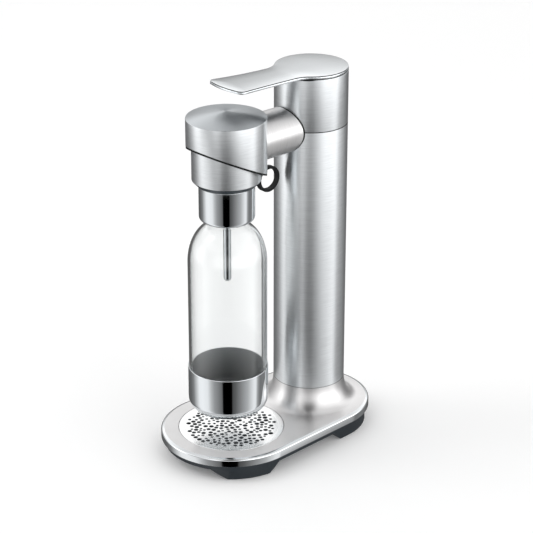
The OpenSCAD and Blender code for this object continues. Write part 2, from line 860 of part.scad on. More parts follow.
// Half section of the gas cylinder's outside
module cylinder_section() {
    round_bottomed(cylinder_r, cylinder_low_z, cylinder_body_top_z, cylinder_corner);
    polygon(concat([[0, cylinder_body_top_z - joined]],
        arc_points(0, cylinder_body_top_z - joined, cylinder_r, cylinder_shoulder, 0, shoulder_sweep),
        [[0, cylinder_body_top_z + cylinder_shoulder * sin(shoulder_sweep)]]));
    translate([0, cylinder_body_top_z]) square([cylinder_neck_r, valve_low_z - cylinder_body_top_z]);
}

module gas_cylinder() {
    color([0.72, 0.73, 0.75]) on_column() difference() {
        rotate_extrude() cylinder_section();
        translate([0, 0, cylinder_low_z + cylinder_wall]) cylinder(r = cylinder_r - cylinder_wall,
            h = cylinder_body_top_z - cylinder_low_z - 2 * cylinder_wall);
    }
}

module cylinder_valve() {
    color([0.78, 0.64, 0.32]) on_column() difference() {
        translate([0, 0, valve_low_z]) cylinder(r = valve_r, h = valve_top_z - valve_low_z);
        translate([0, 0, valve_bore_z])
            cylinder(r = valve_pin_r + pin_play, h = valve_top_z - valve_bore_z + overrun, $fn = small);
    }
}

module valve_pin() {
    color([0.70, 0.70, 0.71]) on_column(valve_top_z + valve_pin_rise - valve_pin_length)
        cylinder(r = valve_pin_r, h = valve_pin_length, $fn = small);
}

module valve_seal() {
    color([0.10, 0.10, 0.10]) on_column(valve_top_z + seat_gap) tube(seal_r, seal_bore_r, seal_t);
}

module valve_connector() {
    nipple_y = column_y - connector_r - nipple_l;
    connector_h = connector_top_z - connector_low_z;
    color([0.50, 0.51, 0.53]) difference() {
        union() {
            on_column(connector_low_z) cylinder(r = connector_r, h = connector_h);
            on_column(connector_flange_z) cylinder(r = connector_flange_r, h = connector_flange_t);
            translate([0, nipple_y, hose_z]) long_cylinder(nipple_r, 2 * nipple_l, $fn = small);
        }
        on_column(connector_low_z - overrun)
            cylinder(r = valve_r + valve_play, h = connector_h - connector_roof + overrun);
        on_column(connector_low_z)
            cylinder(r = pin_r + pin_play, h = connector_h + overrun, $fn = 48);
        translate([0, nipple_y - overrun, hose_z])
            long_cylinder(hose_r, overrun + nipple_l - hose_margin / 2, $fn = small);
    }
}

module gas_hose() {
    start_y = bottle_y + (holder_r + head_in_r - seat_gap) / 2;
    end_y = column_y - connector_r - hose_margin / 2;
    color([0.12, 0.12, 0.13]) translate([0, start_y, hose_z]) difference() {
        long_cylinder(hose_r, end_y - start_y, $fn = small);
        translate([0, -overrun, 0]) long_cylinder(hose_bore_r, end_y - start_y + 2 * overrun, $fn = small);
    }
}

module push_pin() {
    color([0.70, 0.70, 0.71]) on_column(push_pin_low_z)
        cylinder(r = pin_r, h = push_pin_top_z - push_pin_low_z, $fn = 48);
}

module at_pivot() { translate([0, pivot_y, pivot_z]) children(); }
module at_rocker() { translate([0, rocker_y, rocker_z]) children(); }

module at_bracket_screws() {
    for (a = bracket_screw_angles) on_column() rotate([0, 0, a])
        translate([0, bracket_screw_circle, 0]) children();
}

// Two cheeks on a floor plate carry the lever's pin and the rocker's pin
module pivot_bracket() {
    root_y = rocker_y - bracket_root / 2 - pin_r;
    slot_half = rocker_w / 2 + slot_gap;
    pin_l = 2 * (bracket_x + bracket_t) + overrun;
    color([0.45, 0.46, 0.48]) difference() {
        union() {
            on_column(bracket_z) cylinder(r = bracket_floor_r, h = bracket_floor_t);
            for (side = [-1, 1]) translate([side * (bracket_x + bracket_t / 2), 0, 0]) hull() {
                at_pivot() cross_cylinder(pivot_boss_r, bracket_t, $fn = small);
                translate([0, 0, pin_r]) at_rocker() cross_cylinder(rocker_boss_r, bracket_t, $fn = small);
                translate([-bracket_t / 2, root_y, bracket_z]) cube([bracket_t, bracket_root, pin_r]);
            }
        }
        at_pivot() cross_cylinder(pin_r, pin_l);
        at_rocker() cross_cylinder(pin_r, pin_l);
        translate([-slot_half, rocker_y - rocker_boss_r - pin_r, bracket_z - overrun])
            cube([2 * slot_half, 2 * rocker_reach + pin_r, overrun + bracket_floor_t + joined]);
        at_bracket_screws() translate([0, 0, bracket_z - overrun])
            cylinder(r = bracket_screw_r, h = bracket_floor_t + 2 * overrun, $fn = small);
    }
}

module bracket_screws() {
    shank_z = connector_flange_z + connector_flange_t;
    head_low_z = bracket_z + bracket_floor_t;
    color([0.60, 0.60, 0.61]) at_bracket_screws() {
        translate([0, 0, shank_z]) cylinder(r = bracket_screw_r, h = head_low_z - shank_z, $fn = small);
        translate([0, 0, head_low_z])
            cylinder(r = bracket_screw_head_r, h = bracket_screw_head_t, $fn = small);
    }
}

module lever_pin() {
    color([0.72, 0.72, 0.73]) at_pivot() cross_cylinder(pin_r, 2 * (bracket_x + bracket_t));
}

module rocker_pin() {
    color([0.72, 0.72, 0.73]) at_rocker() cross_cylinder(pin_r, 2 * (bracket_x + bracket_t));
}

// Bell crank: the horn takes the lever's push, the arm presses the pin
module rocker_arm() {
    color([0.58, 0.59, 0.60]) difference() {
        union() {
            at_rocker() cross_cylinder(rocker_boss_r, rocker_w);
            translate([-rocker_w / 2, rocker_y - horn_set, rocker_z])
                cube([rocker_w, horn_t, nose_z + nose_t / 2 - rocker_z]);
            translate([-rocker_arm_w / 2, rocker_y, rocker_z - rocker_arm_t / 2])
                cube([rocker_arm_w, rocker_reach + 2 * pin_r, rocker_arm_t]);
        }
        at_rocker() cross_cylinder(pin_r + pin_play, rocker_w + overrun);
    }
}

module lever_spring() {
    color([0.60, 0.60, 0.61]) for (side = [-1, 1])
        translate([side * (hub_half + bracket_x) / 2, pivot_y, pivot_z]) difference() {
            cross_cylinder(lever_spring_r, lever_spring_l);
            cross_cylinder(lever_spring_bore_r, lever_spring_l + overrun);
        }
}

// Hub under the lever with the crank nose
module lever_hub() {
    plate_low_z = lever_low_z - hub_plate_sink;
    nose_l = rocker_y - horn_set - nose_gap - pivot_y;
    color([0.50, 0.51, 0.53]) difference() {
        union() {
            at_pivot() cross_cylinder(hub_r, 2 * hub_half);
            translate([-hub_half, pivot_y - hub_shift, pivot_z])
                cube([2 * hub_half, hub_block, plate_low_z + hub_plate_t - pivot_z]);
            translate([-hub_half, pivot_y - hub_web / 2, nose_z - nose_t / 2])
                cube([2 * hub_half, hub_web, pivot_z - nose_z + nose_t / 2]);
            translate([-crank_half, pivot_y, nose_z - nose_t / 2]) cube([2 * crank_half, nose_l, nose_t]);
            translate([-hub_half, pivot_y - hub_shift, plate_low_z])
                cube([2 * hub_half, hub_plate_l, hub_plate_t]);
        }
        at_pivot() cross_cylinder(pin_r + pin_play, 2 * hub_half + overrun);
        for (p = lever_screw_places) translate([p[0], p[1], plate_low_z - joined])
            cylinder(r = lever_screw_r, h = overrun, $fn = small);
    }
}

module lever_screws() {
    color([0.60, 0.60, 0.61]) for (p = lever_screw_places)
        translate([p[0], p[1], lever_low_z - hub_plate_sink - lever_screw_head_t]) {
            cylinder(r = lever_screw_head_r, h = lever_screw_head_t, $fn = small);
            cylinder(r = lever_screw_r, h = lever_screw_l, $fn = small);
        }
}

// Outline of the lever seen from above: a disc over the column and a waisted handle to the head
function half_width(t) = waist_w / 2 + (tip_w - waist_w) / 2 * t * t;
blend_x = waist_w / 2 + blend_r;
blend_y = column_y - sqrt(pow(column_r + blend_r, 2) - blend_x * blend_x);
join_a = atan2(blend_x, column_y - blend_y);
side_start_y = tip_y + tip_corner;
corner_x = half_width(1) - tip_corner;
tip_steps = 4;
handle_steps = 8;
// Right-hand edge from the middle of the tip to the back of the disc, in strips that share their ends
tip_edge = [for (i = [0 : tip_steps - 1]) let (t = i / tip_steps)
    [corner_x * t, tip_y - tip_bow * (1 - t * t)]];
side_edge = [for (i = [1 : handle_steps - 1]) let (t = i / handle_steps)
    [half_width(1 - t), side_start_y * (1 - t) + blend_y * t]];
right_edge = concat(
    tip_edge,
    arc_points(corner_x, side_start_y, tip_corner, tip_corner, -90, 0),
    side_edge,
    arc_points(blend_x, blend_y, blend_r, blend_r, 180, 90 + join_a),
    [for (i = [1 : disc_steps]) let (a = -90 + join_a + (180 - join_a) * i / disc_steps)
        [column_r * cos(a), column_y + column_r * sin(a)]]);
edge_count = len(right_edge);
lever_points = concat(right_edge,
    [for (i = [edge_count - 2 : -1 : 1]) [-right_edge[i][0], right_edge[i][1]]]);

// Slab of the lever's side view between two heights above its lower edge, which climbs along the handle
module lever_slab(low, high) {
    start_y = tip_y - overrun;
    end_y = column_y + column_r + overrun;
    bend_y = column_y - column_r;
    tip_z = lever_low_z + handle_rise;
    rotate([90, 0, 90]) linear_extrude(2 * column_r + overrun, center = true) polygon([
        [start_y, tip_z + low], [bend_y, lever_low_z + low], [end_y, lever_low_z + low],
        [end_y, lever_low_z + high], [bend_y, lever_low_z + high], [start_y, tip_z + high]]);
}

module lever_outline(inset) {
    translate([0, 0, pivot_z]) linear_extrude(housing_z - pivot_z + handle_rise + 2 * overrun)
        offset(delta = -inset) polygon(lever_points);
}

module lever_shell() {
    bite = lever_screw_l - lever_screw_head_t - hub_plate_sink;
    color([0.84, 0.85, 0.86]) difference() {
        intersection() {
            lever_outline(0);
            lever_slab(0, lever_lip);
        }
        intersection() {
            lever_outline(shell_wall);
            lever_slab(-overrun, lever_lip - shell_roof);
        }
        for (p = lever_screw_places) translate([p[0], p[1], lever_low_z])
            cylinder(r = lever_screw_r, h = bite + seat_gap, $fn = small);
    }
}

module lever_top() {
    color([0.80, 0.80, 0.81]) intersection() {
        lever_outline(plate_inset);
        lever_slab(lever_lip, lever_lip + plate_t);
    }
}

base_plate();
base_chassis();
rubber_feet();
base_screws();
drip_bowl();
drip_grille();
column_tube();
upper_housing();
arm_tube();
head_housing();
head_lid();
head_block();
tilt_pins();
holder_shell();
holder_bevel();
nozzle_block();
thread_ring();
bottle_gasket();
wand_tube();
wand_tip();
relief_body();
relief_spring();
relief_poppet();
ring_pin();
release_ring();
bottle_glass();
bottle_collar();
bottle_cup();
spine_frame();
gas_cylinder();
cylinder_valve();
valve_pin();
valve_seal();
valve_connector();
gas_hose();
push_pin();
pivot_bracket();
bracket_screws();
lever_pin();
rocker_pin();
rocker_arm();
lever_spring();
lever_hub();
lever_screws();
lever_shell();
lever_top();
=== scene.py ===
"""Dresses the sparkling water maker: smooth metal surfaces, clear bottle, plastic underside, light and camera.

The CAD frame is loaded first. Each operator makes one group of pieces as numpy grids, or finishes the
CAD nodes of that group. All sizes in this file are millimetres until `put` turns them into metres.
"""
import json
import math

import bmesh
import bpy
import numpy as np
from bpy.props import FloatProperty, IntProperty, PointerProperty, StringProperty
from mathutils import Matrix, Vector
from mathutils.geometry import delaunay_2d_cdt


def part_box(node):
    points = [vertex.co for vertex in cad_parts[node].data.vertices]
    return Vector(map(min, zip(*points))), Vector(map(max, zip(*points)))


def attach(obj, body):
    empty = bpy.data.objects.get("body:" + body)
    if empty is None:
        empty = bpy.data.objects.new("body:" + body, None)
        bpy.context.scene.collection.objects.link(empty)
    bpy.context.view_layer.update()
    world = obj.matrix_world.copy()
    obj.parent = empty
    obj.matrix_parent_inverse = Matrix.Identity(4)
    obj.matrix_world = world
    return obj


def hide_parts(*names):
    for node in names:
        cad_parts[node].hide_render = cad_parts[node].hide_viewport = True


bl_info = {
    "name": "Sparkling water maker",
    "version": (1, 0, 0),
    "blender": (4, 5, 0),
    "location": "View3D > Sidebar > Water maker",
    "description": "Surfaces, finishes, light and camera for a lever-pressed sparkling water maker",
    "category": "Object",
}

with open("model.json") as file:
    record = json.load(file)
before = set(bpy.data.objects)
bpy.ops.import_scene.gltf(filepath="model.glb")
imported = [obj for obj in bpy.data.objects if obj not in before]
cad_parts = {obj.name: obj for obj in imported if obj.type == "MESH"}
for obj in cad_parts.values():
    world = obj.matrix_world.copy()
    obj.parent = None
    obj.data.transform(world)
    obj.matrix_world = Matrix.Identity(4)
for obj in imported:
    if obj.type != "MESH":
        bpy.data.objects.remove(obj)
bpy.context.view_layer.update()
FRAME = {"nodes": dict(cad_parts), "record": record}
MM = 0.001


def node_box(name):
    """Lowest and highest corner of a CAD node in millimetres."""
    low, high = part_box(name)
    return np.array(low) / MM, np.array(high) / MM


def middle(name):
    """Centre of a CAD node's box in millimetres."""
    low, high = node_box(name)
    return (low + high) / 2


COLUMN_Y = middle("column_tube")[1]
BOTTLE_Y = middle("bottle_cup")[1]
# Forms that no node's box gives, as in the CAD, mm
DECK_Z = 27
BASE_REAR_R = 68.5
BEVEL_W = 3.5
FLARE_W = 15.6
GRILLE_RIM = 6.9
SKIRT_FRONT_H = 28
# Thickness of the steel covers of base, column and arm, mm
SHEET = 1.2


class WaterMakerSizes(bpy.types.PropertyGroup):
    """Sizes of the fine forms that the visible surfaces add."""

    edge_round: FloatProperty(
        name="Edge rounding", description="Radius of the skirt's broken edges, mm", default=0.4, min=0.1, max=1.0)
    # The joint line is a black ring in a joint's gap, which paints the gap's shade as a dark line
    joint_line: FloatProperty(
        name="Joint line", description="Height of the dark lining in a joint, mm", default=2.0, min=0.3, max=3.0)
    plate_crown: FloatProperty(
        name="Lever crown", description="Height of the crown of the lever's plate, mm", default=0.84, min=0.0, max=1.0)
    hole_count: IntProperty(
        name="Drain holes", description="Number of holes in the grille", default=215, min=60, max=300)
    hole_web: FloatProperty(
        name="Web", description="Least width of steel left between two drain holes, mm", default=0.8, min=0.4, max=2.0)
    brush_pitch: FloatProperty(
        name="Brush pitch", description="Distance between the brushed steel's lines, mm", default=0.4, min=0.1, max=2.0)


class WaterMakerColours(bpy.types.PropertyGroup):
    """Colours of the finishes, as sRGB hex values."""

    steel: StringProperty(name="Steel", description="Brushed stainless steel", default="#E2E5E7")
    deck: StringProperty(name="Deck steel", description="Steel of base and flare", default="#DDDCDC")
    # Darker than the other steel, so that the lid's colour paints the shade that it shows
    spun: StringProperty(name="Spun steel", description="Steel of the head's lid", default="#C4C8CB")
    bright: StringProperty(name="Bright steel", description="Steel of the grille", default="#F4F5F5")
    chrome: StringProperty(name="Chrome", description="Polished chrome", default="#E6EAED")
    slate: StringProperty(name="Slate plastic", description="Moulded ABS of the underside", default="#262E34")
    grey: StringProperty(name="Grey plastic", description="Moulded ABS under the lever", default="#70767B")
    black: StringProperty(name="Black plastic", description="Nylon of the small parts", default="#0C0E10")
    rubber: StringProperty(name="Rubber", description="Feet and seals", default="#1C1D1F")
    brass: StringProperty(name="Brass", description="Cylinder valve", default="#C9A24C")
    alloy: StringProperty(name="Cylinder alloy", description="Anodised aluminium", default="#B9BDC1")


class WaterMakerStage(bpy.types.PropertyGroup):
    """Camera, floor and light."""

    azimuth: FloatProperty(name="Azimuth", description="Angle round the object, degrees", default=48.862)
    elevation: FloatProperty(name="Elevation", description="Angle above the floor, degrees", default=23.799)
    distance: FloatProperty(name="Distance", description="Camera's distance, mm", default=2283.75, min=500)
    across: FloatProperty(name="Across", description="Camera's shift to its right, mm", default=-46.687)
    up: FloatProperty(name="Up", description="Camera's shift upwards, mm", default=166.53)
    lens: FloatProperty(name="Lens", description="Focal length, 36 mm sensor, mm", default=137.539, min=10)


# Where a noise around 0.5 has its low and its high end
NOISE_SPAN = (0.3, 0.7)
# How much longer a brushed line is than the pitch of the lines
BRUSH_STRETCH = 45
# Distances from the column's axis between which the flare passes into the deck, mm, and the deck's metallic share
DECK_FADE = (52, 80)
DECK_METALLIC = 0.4
# Sizes of the faint patterns in polish, plastic, bottle and turned metal, mm
HAZE = 1000 / 45
WASH = 25
FLOW = 1000 / 22
TOOL_MARK = 0.4


def linear(code):
    """sRGB hex to a linear RGBA tuple."""
    c = np.array([int(code[i:i + 2], 16) for i in (1, 3, 5)]) / 255
    rgb = np.where(c <= 0.04045, c / 12.92, ((c + 0.055) / 1.055) ** 2.4)
    return (*[float(v) for v in rgb], 1.0)


def add(tree, kind, links=None, **settings):
    """Adds one node; settings name its properties or, as in_NAME, its inputs; links maps inputs to output sockets."""
    n = tree.nodes.new(kind)
    for key, value in settings.items():
        if key.startswith("in_"):
            n.inputs[int(key[3:]) if key[3:].isdigit() else key[3:].replace("_", " ")].default_value = value
        else:
            setattr(n, key, value)
    for key, socket in (links or {}).items():
        tree.links.new(socket, n.inputs[key])
    return n


def calc(tree, operation, *values, kind="ShaderNodeMath", out=0):
    """Arithmetic on output sockets and plain numbers or vectors, in their order; returns the result's socket."""
    links = {i: v for i, v in enumerate(values) if isinstance(v, bpy.types.NodeSocket)}
    plain = {f"in_{i}": v for i, v in enumerate(values) if i not in links}
    return add(tree, kind, links, operation=operation, **plain).outputs[out]


def vector(tree, operation, *values):
    """Arithmetic on vectors, which likewise returns the result's socket."""
    return calc(tree, operation, *values, kind="ShaderNodeVectorMath", out="Value" if operation == "LENGTH" else 0)


def own_place(tree):
    """Place on the piece in its own coordinates, in metres."""
    return add(tree, "ShaderNodeTexCoord").outputs["Object"]


def noise(tree, place, scale, detail):
    """Noise around 0.5 at a place, `scale` grains to the metre."""
    return add(tree, "ShaderNodeTexNoise", {0: place}, in_Scale=scale, in_Detail=detail).outputs[0]


def base_material(name, colour, metallic, roughness, **more):
    """A Principled material with plain numbers on its own sockets; returns the material, its tree and its shader."""
    m = bpy.data.materials.new(name)
    m.use_nodes = True
    tree = m.node_tree
    shader = tree.nodes["Principled BSDF"]
    shader.inputs["Base Color"].default_value = linear(colour)
    shader.inputs["Metallic"].default_value = metallic
    shader.inputs["Roughness"].default_value = roughness
    for key, value in more.items():
        shader.inputs[key.replace("_", " ")].default_value = value
    return m, tree, shader


def tint(tree, shader, colour, factor, spread):
    """Base colour that varies a little, lighter and darker by the share `spread`, after a noise."""
    c = np.array(linear(colour)[:3])
    ramp = add(tree, "ShaderNodeValToRGB", {0: factor})
    for stop, place, share in zip(ramp.color_ramp.elements, NOISE_SPAN, (1 - spread, 1 + spread)):
        stop.position = place
        stop.color = (*[float(v) for v in np.minimum(c * share, 1)], 1)
    tree.links.new(ramp.outputs[0], shader.inputs["Base Color"])


def uneven(tree, shader, factor, low, high, span=NOISE_SPAN):
    """Roughness that varies from low to high as a noise goes through its span."""
    rough = add(tree, "ShaderNodeMapRange", {0: factor}, in_1=span[0], in_2=span[1], in_3=low, in_4=high)
    tree.links.new(rough.outputs[0], shader.inputs["Roughness"])


def bumpy(tree, shader, height, strength, depth):
    """Fine relief from a noise, `depth` in millimetres."""
    bump = add(tree, "ShaderNodeBump", {"Height": height}, in_Strength=strength, in_Distance=depth * MM)
    tree.links.new(bump.outputs[0], shader.inputs["Normal"])


def brushed(name, colour, axis, centre, roughness=0.3, spread=0.085, anisotropic=0.85, metallic=1.0):
    """Stainless steel 1.4301, belt-brushed round `axis`: fine lines run round a turned cover, so reflections
    smear along the axis and stay clear across it. "spun" is turned about Z on a lid, with lines in circles,
    "flare" the same on the base, whose foot spreads to the deck; "flat" is a plate brushed along Y. The
    tangent is the way in which the reflection smears, square to the lines. Real lines are about 0.1 mm apart
    and too fine to show, so they are drawn at the pitch of the sizes."""
    m, tree, shader = base_material(name, colour, metallic, roughness, Anisotropic=anisotropic)
    at = vector(tree, "SUBTRACT", own_place(tree), [v * MM for v in centre])
    flat = vector(tree, "MULTIPLY", at, (1, 1, 0))
    across = 1 / (bpy.context.scene.water_maker_sizes.brush_pitch * MM)
    along = across / BRUSH_STRETCH
    if axis == "spun":
        far = calc(tree, "MULTIPLY", vector(tree, "LENGTH", flat), across)
        grid = add(tree, "ShaderNodeCombineXYZ", {0: far}).outputs[0]
    else:
        scale = {"Z": (along, along, across), "Y": (along, across, along), "flare": (along, along, across),
                 "flat": (across, along, along)}[axis]
        grid = vector(tree, "MULTIPLY", at, scale)
    grain = noise(tree, grid, 1.0, 3.0)
    smear = {"Z": (0, 0, 1), "Y": (0, 1, 0), "flare": (0, 0, -1), "flat": (1, 0, 0), "spun": (0, 0, 0)}[axis]
    outwards = 1.0 if axis in ("flare", "spun") else 0.0
    tangent = vector(tree, "MULTIPLY_ADD", vector(tree, "NORMALIZE", flat), [outwards] * 3, smear)
    tree.links.new(tangent, shader.inputs["Tangent"])
    if axis == "flare":
        # All metal, the deck mirrors the dark column and comes out too dark beside the photo: part of it is matt
        fade = add(tree, "ShaderNodeMapRange", {0: vector(tree, "LENGTH", flat)}, interpolation_type="SMOOTHSTEP",
                   in_1=DECK_FADE[0] * MM, in_2=DECK_FADE[1] * MM, in_3=metallic, in_4=DECK_METALLIC)
        tree.links.new(fade.outputs[0], shader.inputs["Metallic"])
    tint(tree, shader, colour, grain, spread)
    uneven(tree, shader, grain, roughness - 0.02, roughness + 0.03)
    return m


def polished(name, colour, roughness):
    """Bright chrome or buffed steel: a mirror with the faintest haze where it has been wiped."""
    m, tree, shader = base_material(name, colour, 1.0, roughness)
    haze = noise(tree, own_place(tree), 1 / (HAZE * MM), 3.0)
    uneven(tree, shader, haze, roughness * 0.8, roughness * 1.8, (0.35, 0.75))
    return m


def moulded(name, colour, grit, roughness, gloss=0.5):
    """Injection-moulded plastic or rubber: spark-eroded grit `grit` mm across that breaks up the gloss."""
    m, tree, shader = base_material(name, colour, 0.0, roughness, Specular_IOR_Level=gloss)
    skin = noise(tree, own_place(tree), 1 / (grit * MM), 2.0)
    tint(tree, shader, colour, noise(tree, own_place(tree), 1 / (WASH * MM), 2.0), 0.05)
    uneven(tree, shader, skin, roughness - 0.06, roughness + 0.06)
    bumpy(tree, shader, skin, 0.25, 0.03)
    return m


def clear_pet():
    """PET, blow-moulded: colourless, water-clear, IOR 1.575 in the solid; drawn a little lower so that thin
    walls stay as open to the eye as the real ones."""
    m, tree, shader = base_material("clear_pet", "#FCFDFD", 0.0, 0.0, IOR=1.45, Transmission_Weight=1.0)
    bumpy(tree, shader, noise(tree, own_place(tree), 1 / (FLOW * MM), 1.0), 0.04, 0.2)
    return m


def turned_metal(name, colour, roughness):
    """Brass, steel or aluminium off the lathe: faint tool marks along Z."""
    m, tree, shader = base_material(name, colour, 1.0, roughness)
    marks = noise(tree, vector(tree, "MULTIPLY", own_place(tree), (60, 60, 1 / (TOOL_MARK * MM))), 1.0, 2.0)
    tint(tree, shader, colour, marks, 0.06)
    uneven(tree, shader, marks, roughness - 0.06, roughness + 0.08)
    return m


FINISHES = {}


def finish_of(key):
    """One material per finish, made when it is first asked for."""
    if key not in FINISHES:
        c = bpy.context.scene.water_maker_colours
        column, bottle, arm = (0, COLUMN_Y, 0), (0, BOTTLE_Y, 0), (0, 0, middle("arm_tube")[2])
        make, *values = {
            "column_steel": (brushed, "brushed_steel_column", c.steel, "Z", column),
            "head_steel": (brushed, "brushed_steel_head", c.steel, "Z", bottle),
            "arm_steel": (brushed, "brushed_steel_arm", c.deck, "Y", arm, 0.42, 0.085, 0.6),
            # The lid's darker steel colour is painted shade
            "lid_steel": (brushed, "spun_steel_lid", c.spun, "spun", bottle, 0.36, 0.03, 0.85),
            "flare_steel": (brushed, "brushed_steel_deck", c.deck, "flare", column, 0.3, 0.03, 0.9),
            "grille_steel": (brushed, "brushed_steel_grille", c.bright, "flat", (0, 0, 0), 0.24, 0.01, 0.0),
            "lever_metal": (brushed, "satin_steel_lever", c.steel, "flat", (0, 0, 0), 0.17, 0.004, 0.0),
            "lip_steel": (brushed, "buffed_steel_lip", c.chrome, "Z", column, 0.22, 0.0, 0.8),
            "cup_inside": (brushed, "drawn_steel_cup_inside", c.steel, "Z", bottle, 0.4, 0.02, 0.6, 0.2),
            "band_steel": (polished, "buffed_steel_band", c.steel, 0.06),
            "chrome": (polished, "bright_chrome", c.chrome, 0.035),
            # Dull dark grey for the grille's hole walls: painted shade in the holes
            "punched_steel": (moulded, "punched_steel_edge", c.grey, 0.3, 0.6),
            "slate_plastic": (moulded, "moulded_abs_slate", c.slate, 0.5, 0.42),
            "grey_plastic": (moulded, "moulded_abs_grey", c.grey, 0.5, 0.5),
            "black_plastic": (moulded, "moulded_nylon_black", c.black, 0.4, 0.5, 0.2),
            "rubber": (moulded, "moulded_rubber", c.rubber, 0.6, 0.7),
            "inner_steel": (turned_metal, "turned_steel", c.steel, 0.32),
            "brass": (turned_metal, "turned_brass", c.brass, 0.3),
            "cylinder_alloy": (turned_metal, "anodised_aluminium", c.alloy, 0.38),
            "clear": (clear_pet,),
        }[key]
        FINISHES[key] = make(*values)
    return FINISHES[key]


def finish_nodes(names):
    """Gives each CAD node the finish of its record slot."""
    slots = {part["node"]: part["material_slot"] for part in FRAME["record"]["subparts"]}
    for name in names:
        node = FRAME["nodes"][name]
        node.data.materials.clear()
        node.data.materials.append(finish_of(slots[name]))


def put(name, points, faces, finish, body, nodes=(), sharp=40.0):
    """Makes a piece from points in millimetres and quads, merges its seam and poles, turns its faces
    outwards, smooths it below the sharp angle, gives it its finish and lets it ride on its body."""
    mesh = bpy.data.meshes.new(name)
    mesh.from_pydata((np.asarray(points, float).reshape(-1, 3) * MM).tolist(), [],
                     faces if isinstance(faces, list) else faces.tolist())
    b = bmesh.new()
    b.from_mesh(mesh)
    bmesh.ops.remove_doubles(b, verts=b.verts, dist=1e-6)
    bmesh.ops.dissolve_degenerate(b, edges=b.edges, dist=1e-7)
    bmesh.ops.recalc_face_normals(b, faces=b.faces)
    b.to_mesh(mesh)
    b.free()
    return dress(name, mesh, finish, body, nodes, sharp)


def dress(name, mesh, finish, body, nodes, sharp):
    """Object for a finished mesh: smooth shading below the sharp angle, a finish, a body, the nodes replaced."""
    mesh.polygons.foreach_set("use_smooth", [True] * len(mesh.polygons))
    mesh.set_sharp_from_angle(angle=math.radians(sharp))
    piece = bpy.data.objects.new(name, mesh)
    bpy.context.scene.collection.objects.link(piece)
    mesh.materials.append(finish_of(finish))
    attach(piece, body)
    if nodes:
        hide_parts(*nodes)
    return piece


def second_finish(piece, finish, chosen):
    """Gives a piece's chosen faces another finish; `chosen` gets all centres, in millimetres, and normals."""
    count = len(piece.data.polygons)
    centre, normal = np.empty(count * 3), np.empty(count * 3)
    piece.data.polygons.foreach_get("center", centre)
    piece.data.polygons.foreach_get("normal", normal)
    piece.data.materials.append(finish_of(finish))
    picked = chosen(centre.reshape(-1, 3) / MM, normal.reshape(-1, 3))
    piece.data.polygons.foreach_set("material_index", picked.astype(np.int32))


def smooth_copy(name, node, finish, body, sharp=35.0):
    """A merged copy of a CAD node that shades smoothly where the node's facets meet at small angles."""
    mesh = FRAME["nodes"][node].data.copy()
    mesh.name = name
    mesh.materials.clear()
    b = bmesh.new()
    b.from_mesh(mesh)
    bmesh.ops.remove_doubles(b, verts=b.verts, dist=1e-6)
    b.to_mesh(mesh)
    b.free()
    return dress(name, mesh, finish, body, (node,), sharp)


def grid_faces(rows, columns, close_rows=False, close_columns=False):
    """Quads of a rows x columns grid, joined round at the ends where it is closed."""
    r = np.arange(rows if close_rows else rows - 1)[:, None]
    c = np.arange(columns if close_columns else columns - 1)[None, :]
    r2 = (r + 1) % rows
    c2 = (c + 1) % columns
    quads = np.stack([r * columns + c, r * columns + c2, r2 * columns + c2, r2 * columns + c], axis=-1)
    return quads.reshape(-1, 4)


def rounded(corners, radii, steps=5):
    """Polyline with each inner corner replaced by an arc: the corner is cut off at the radius times
    tan(half the turn) on both sides, and a quadratic curve through the corner bends between the two cuts."""
    p = [np.array(c, float) for c in corners]
    out = [p[0][None]]
    for before, corner, after, r in zip(p, p[1:], p[2:], radii):
        to_a = (before - corner) / np.linalg.norm(before - corner)
        to_b = (after - corner) / np.linalg.norm(after - corner)
        cut = min(r / max(math.tan(math.acos(np.clip(to_a @ to_b, -1, 1)) / 2), 1e-3),
                  0.49 * np.linalg.norm(before - corner), 0.49 * np.linalg.norm(after - corner))
        t = np.linspace(0, 1, steps + 1)[:, None]
        a, b = corner + to_a * cut, corner + to_b * cut
        w = 0.75  # how strongly the corner pulls the curve
        weight = (1 - t) ** 2 + 2 * w * t * (1 - t) + t ** 2
        out.append(((1 - t) ** 2 * a + 2 * w * t * (1 - t) * corner + t ** 2 * b) / weight)
    out.append(p[-1][None])
    return np.concatenate(out)


def arc(x, z, a, b, start, end, steps):
    """Points of an elliptic arc about (x, z) with half axes a and b, between two angles in degrees."""
    t = np.radians(np.linspace(start, end, steps + 1))
    return np.stack([x + a * np.cos(t), z + b * np.sin(t)], axis=1)


def turn(profile, centre_y, steps=192):
    """Surface of revolution: each (radius, height) of the profile goes round the upright axis at centre_y;
    point = (radius cos a, centre_y + radius sin a, height)."""
    a = np.linspace(0, 2 * np.pi, steps, endpoint=False)[:, None]
    r, z = profile[:, 0][None], profile[:, 1][None]
    points = np.stack([r * np.cos(a), centre_y + r * np.sin(a), np.broadcast_to(z, (steps, len(profile)))], axis=-1)
    return points, grid_faces(steps, len(profile), close_rows=True)


def turned(name, profile, centre_y, finish, body, nodes=(), steps=192):
    """A turned piece from its closed half section."""
    points, faces = turn(np.asarray(profile, float), centre_y, steps)
    return put(name, points, faces, finish, body, nodes)


def ring_section(outer, inner, low, high, round_r):
    """Closed half section of a tube with broken edges, which starts and ends in the middle of its bore."""
    mid = (low + high) / 2
    corners = [(inner, mid), (inner, low), (outer, low), (outer, high), (inner, high), (inner, mid)]
    return rounded(corners, [round_r] * 4)


def stadium(inset, height, steps=90):
    """Loop round the base at a height: the hull of its two round ends, each drawn in by `inset`. The straight
    sides leave both ends where they lean by asin(difference of the radii / distance of the centres)."""
    low, high = node_box("base_plate")
    front_r, rear_r = high[0], BASE_REAR_R
    front_y, rear_y = low[1] + front_r, high[1] - rear_r
    lean = math.degrees(math.asin((front_r - rear_r) / (rear_y - front_y)))
    loop = np.concatenate([arc(0, rear_y, rear_r - inset, rear_r - inset, lean, 180 - lean, steps),
                           arc(0, front_y, front_r - inset, front_r - inset, 180 - lean, 360 + lean, steps)])
    return np.concatenate([loop, np.full((len(loop), 1), height)], axis=1)


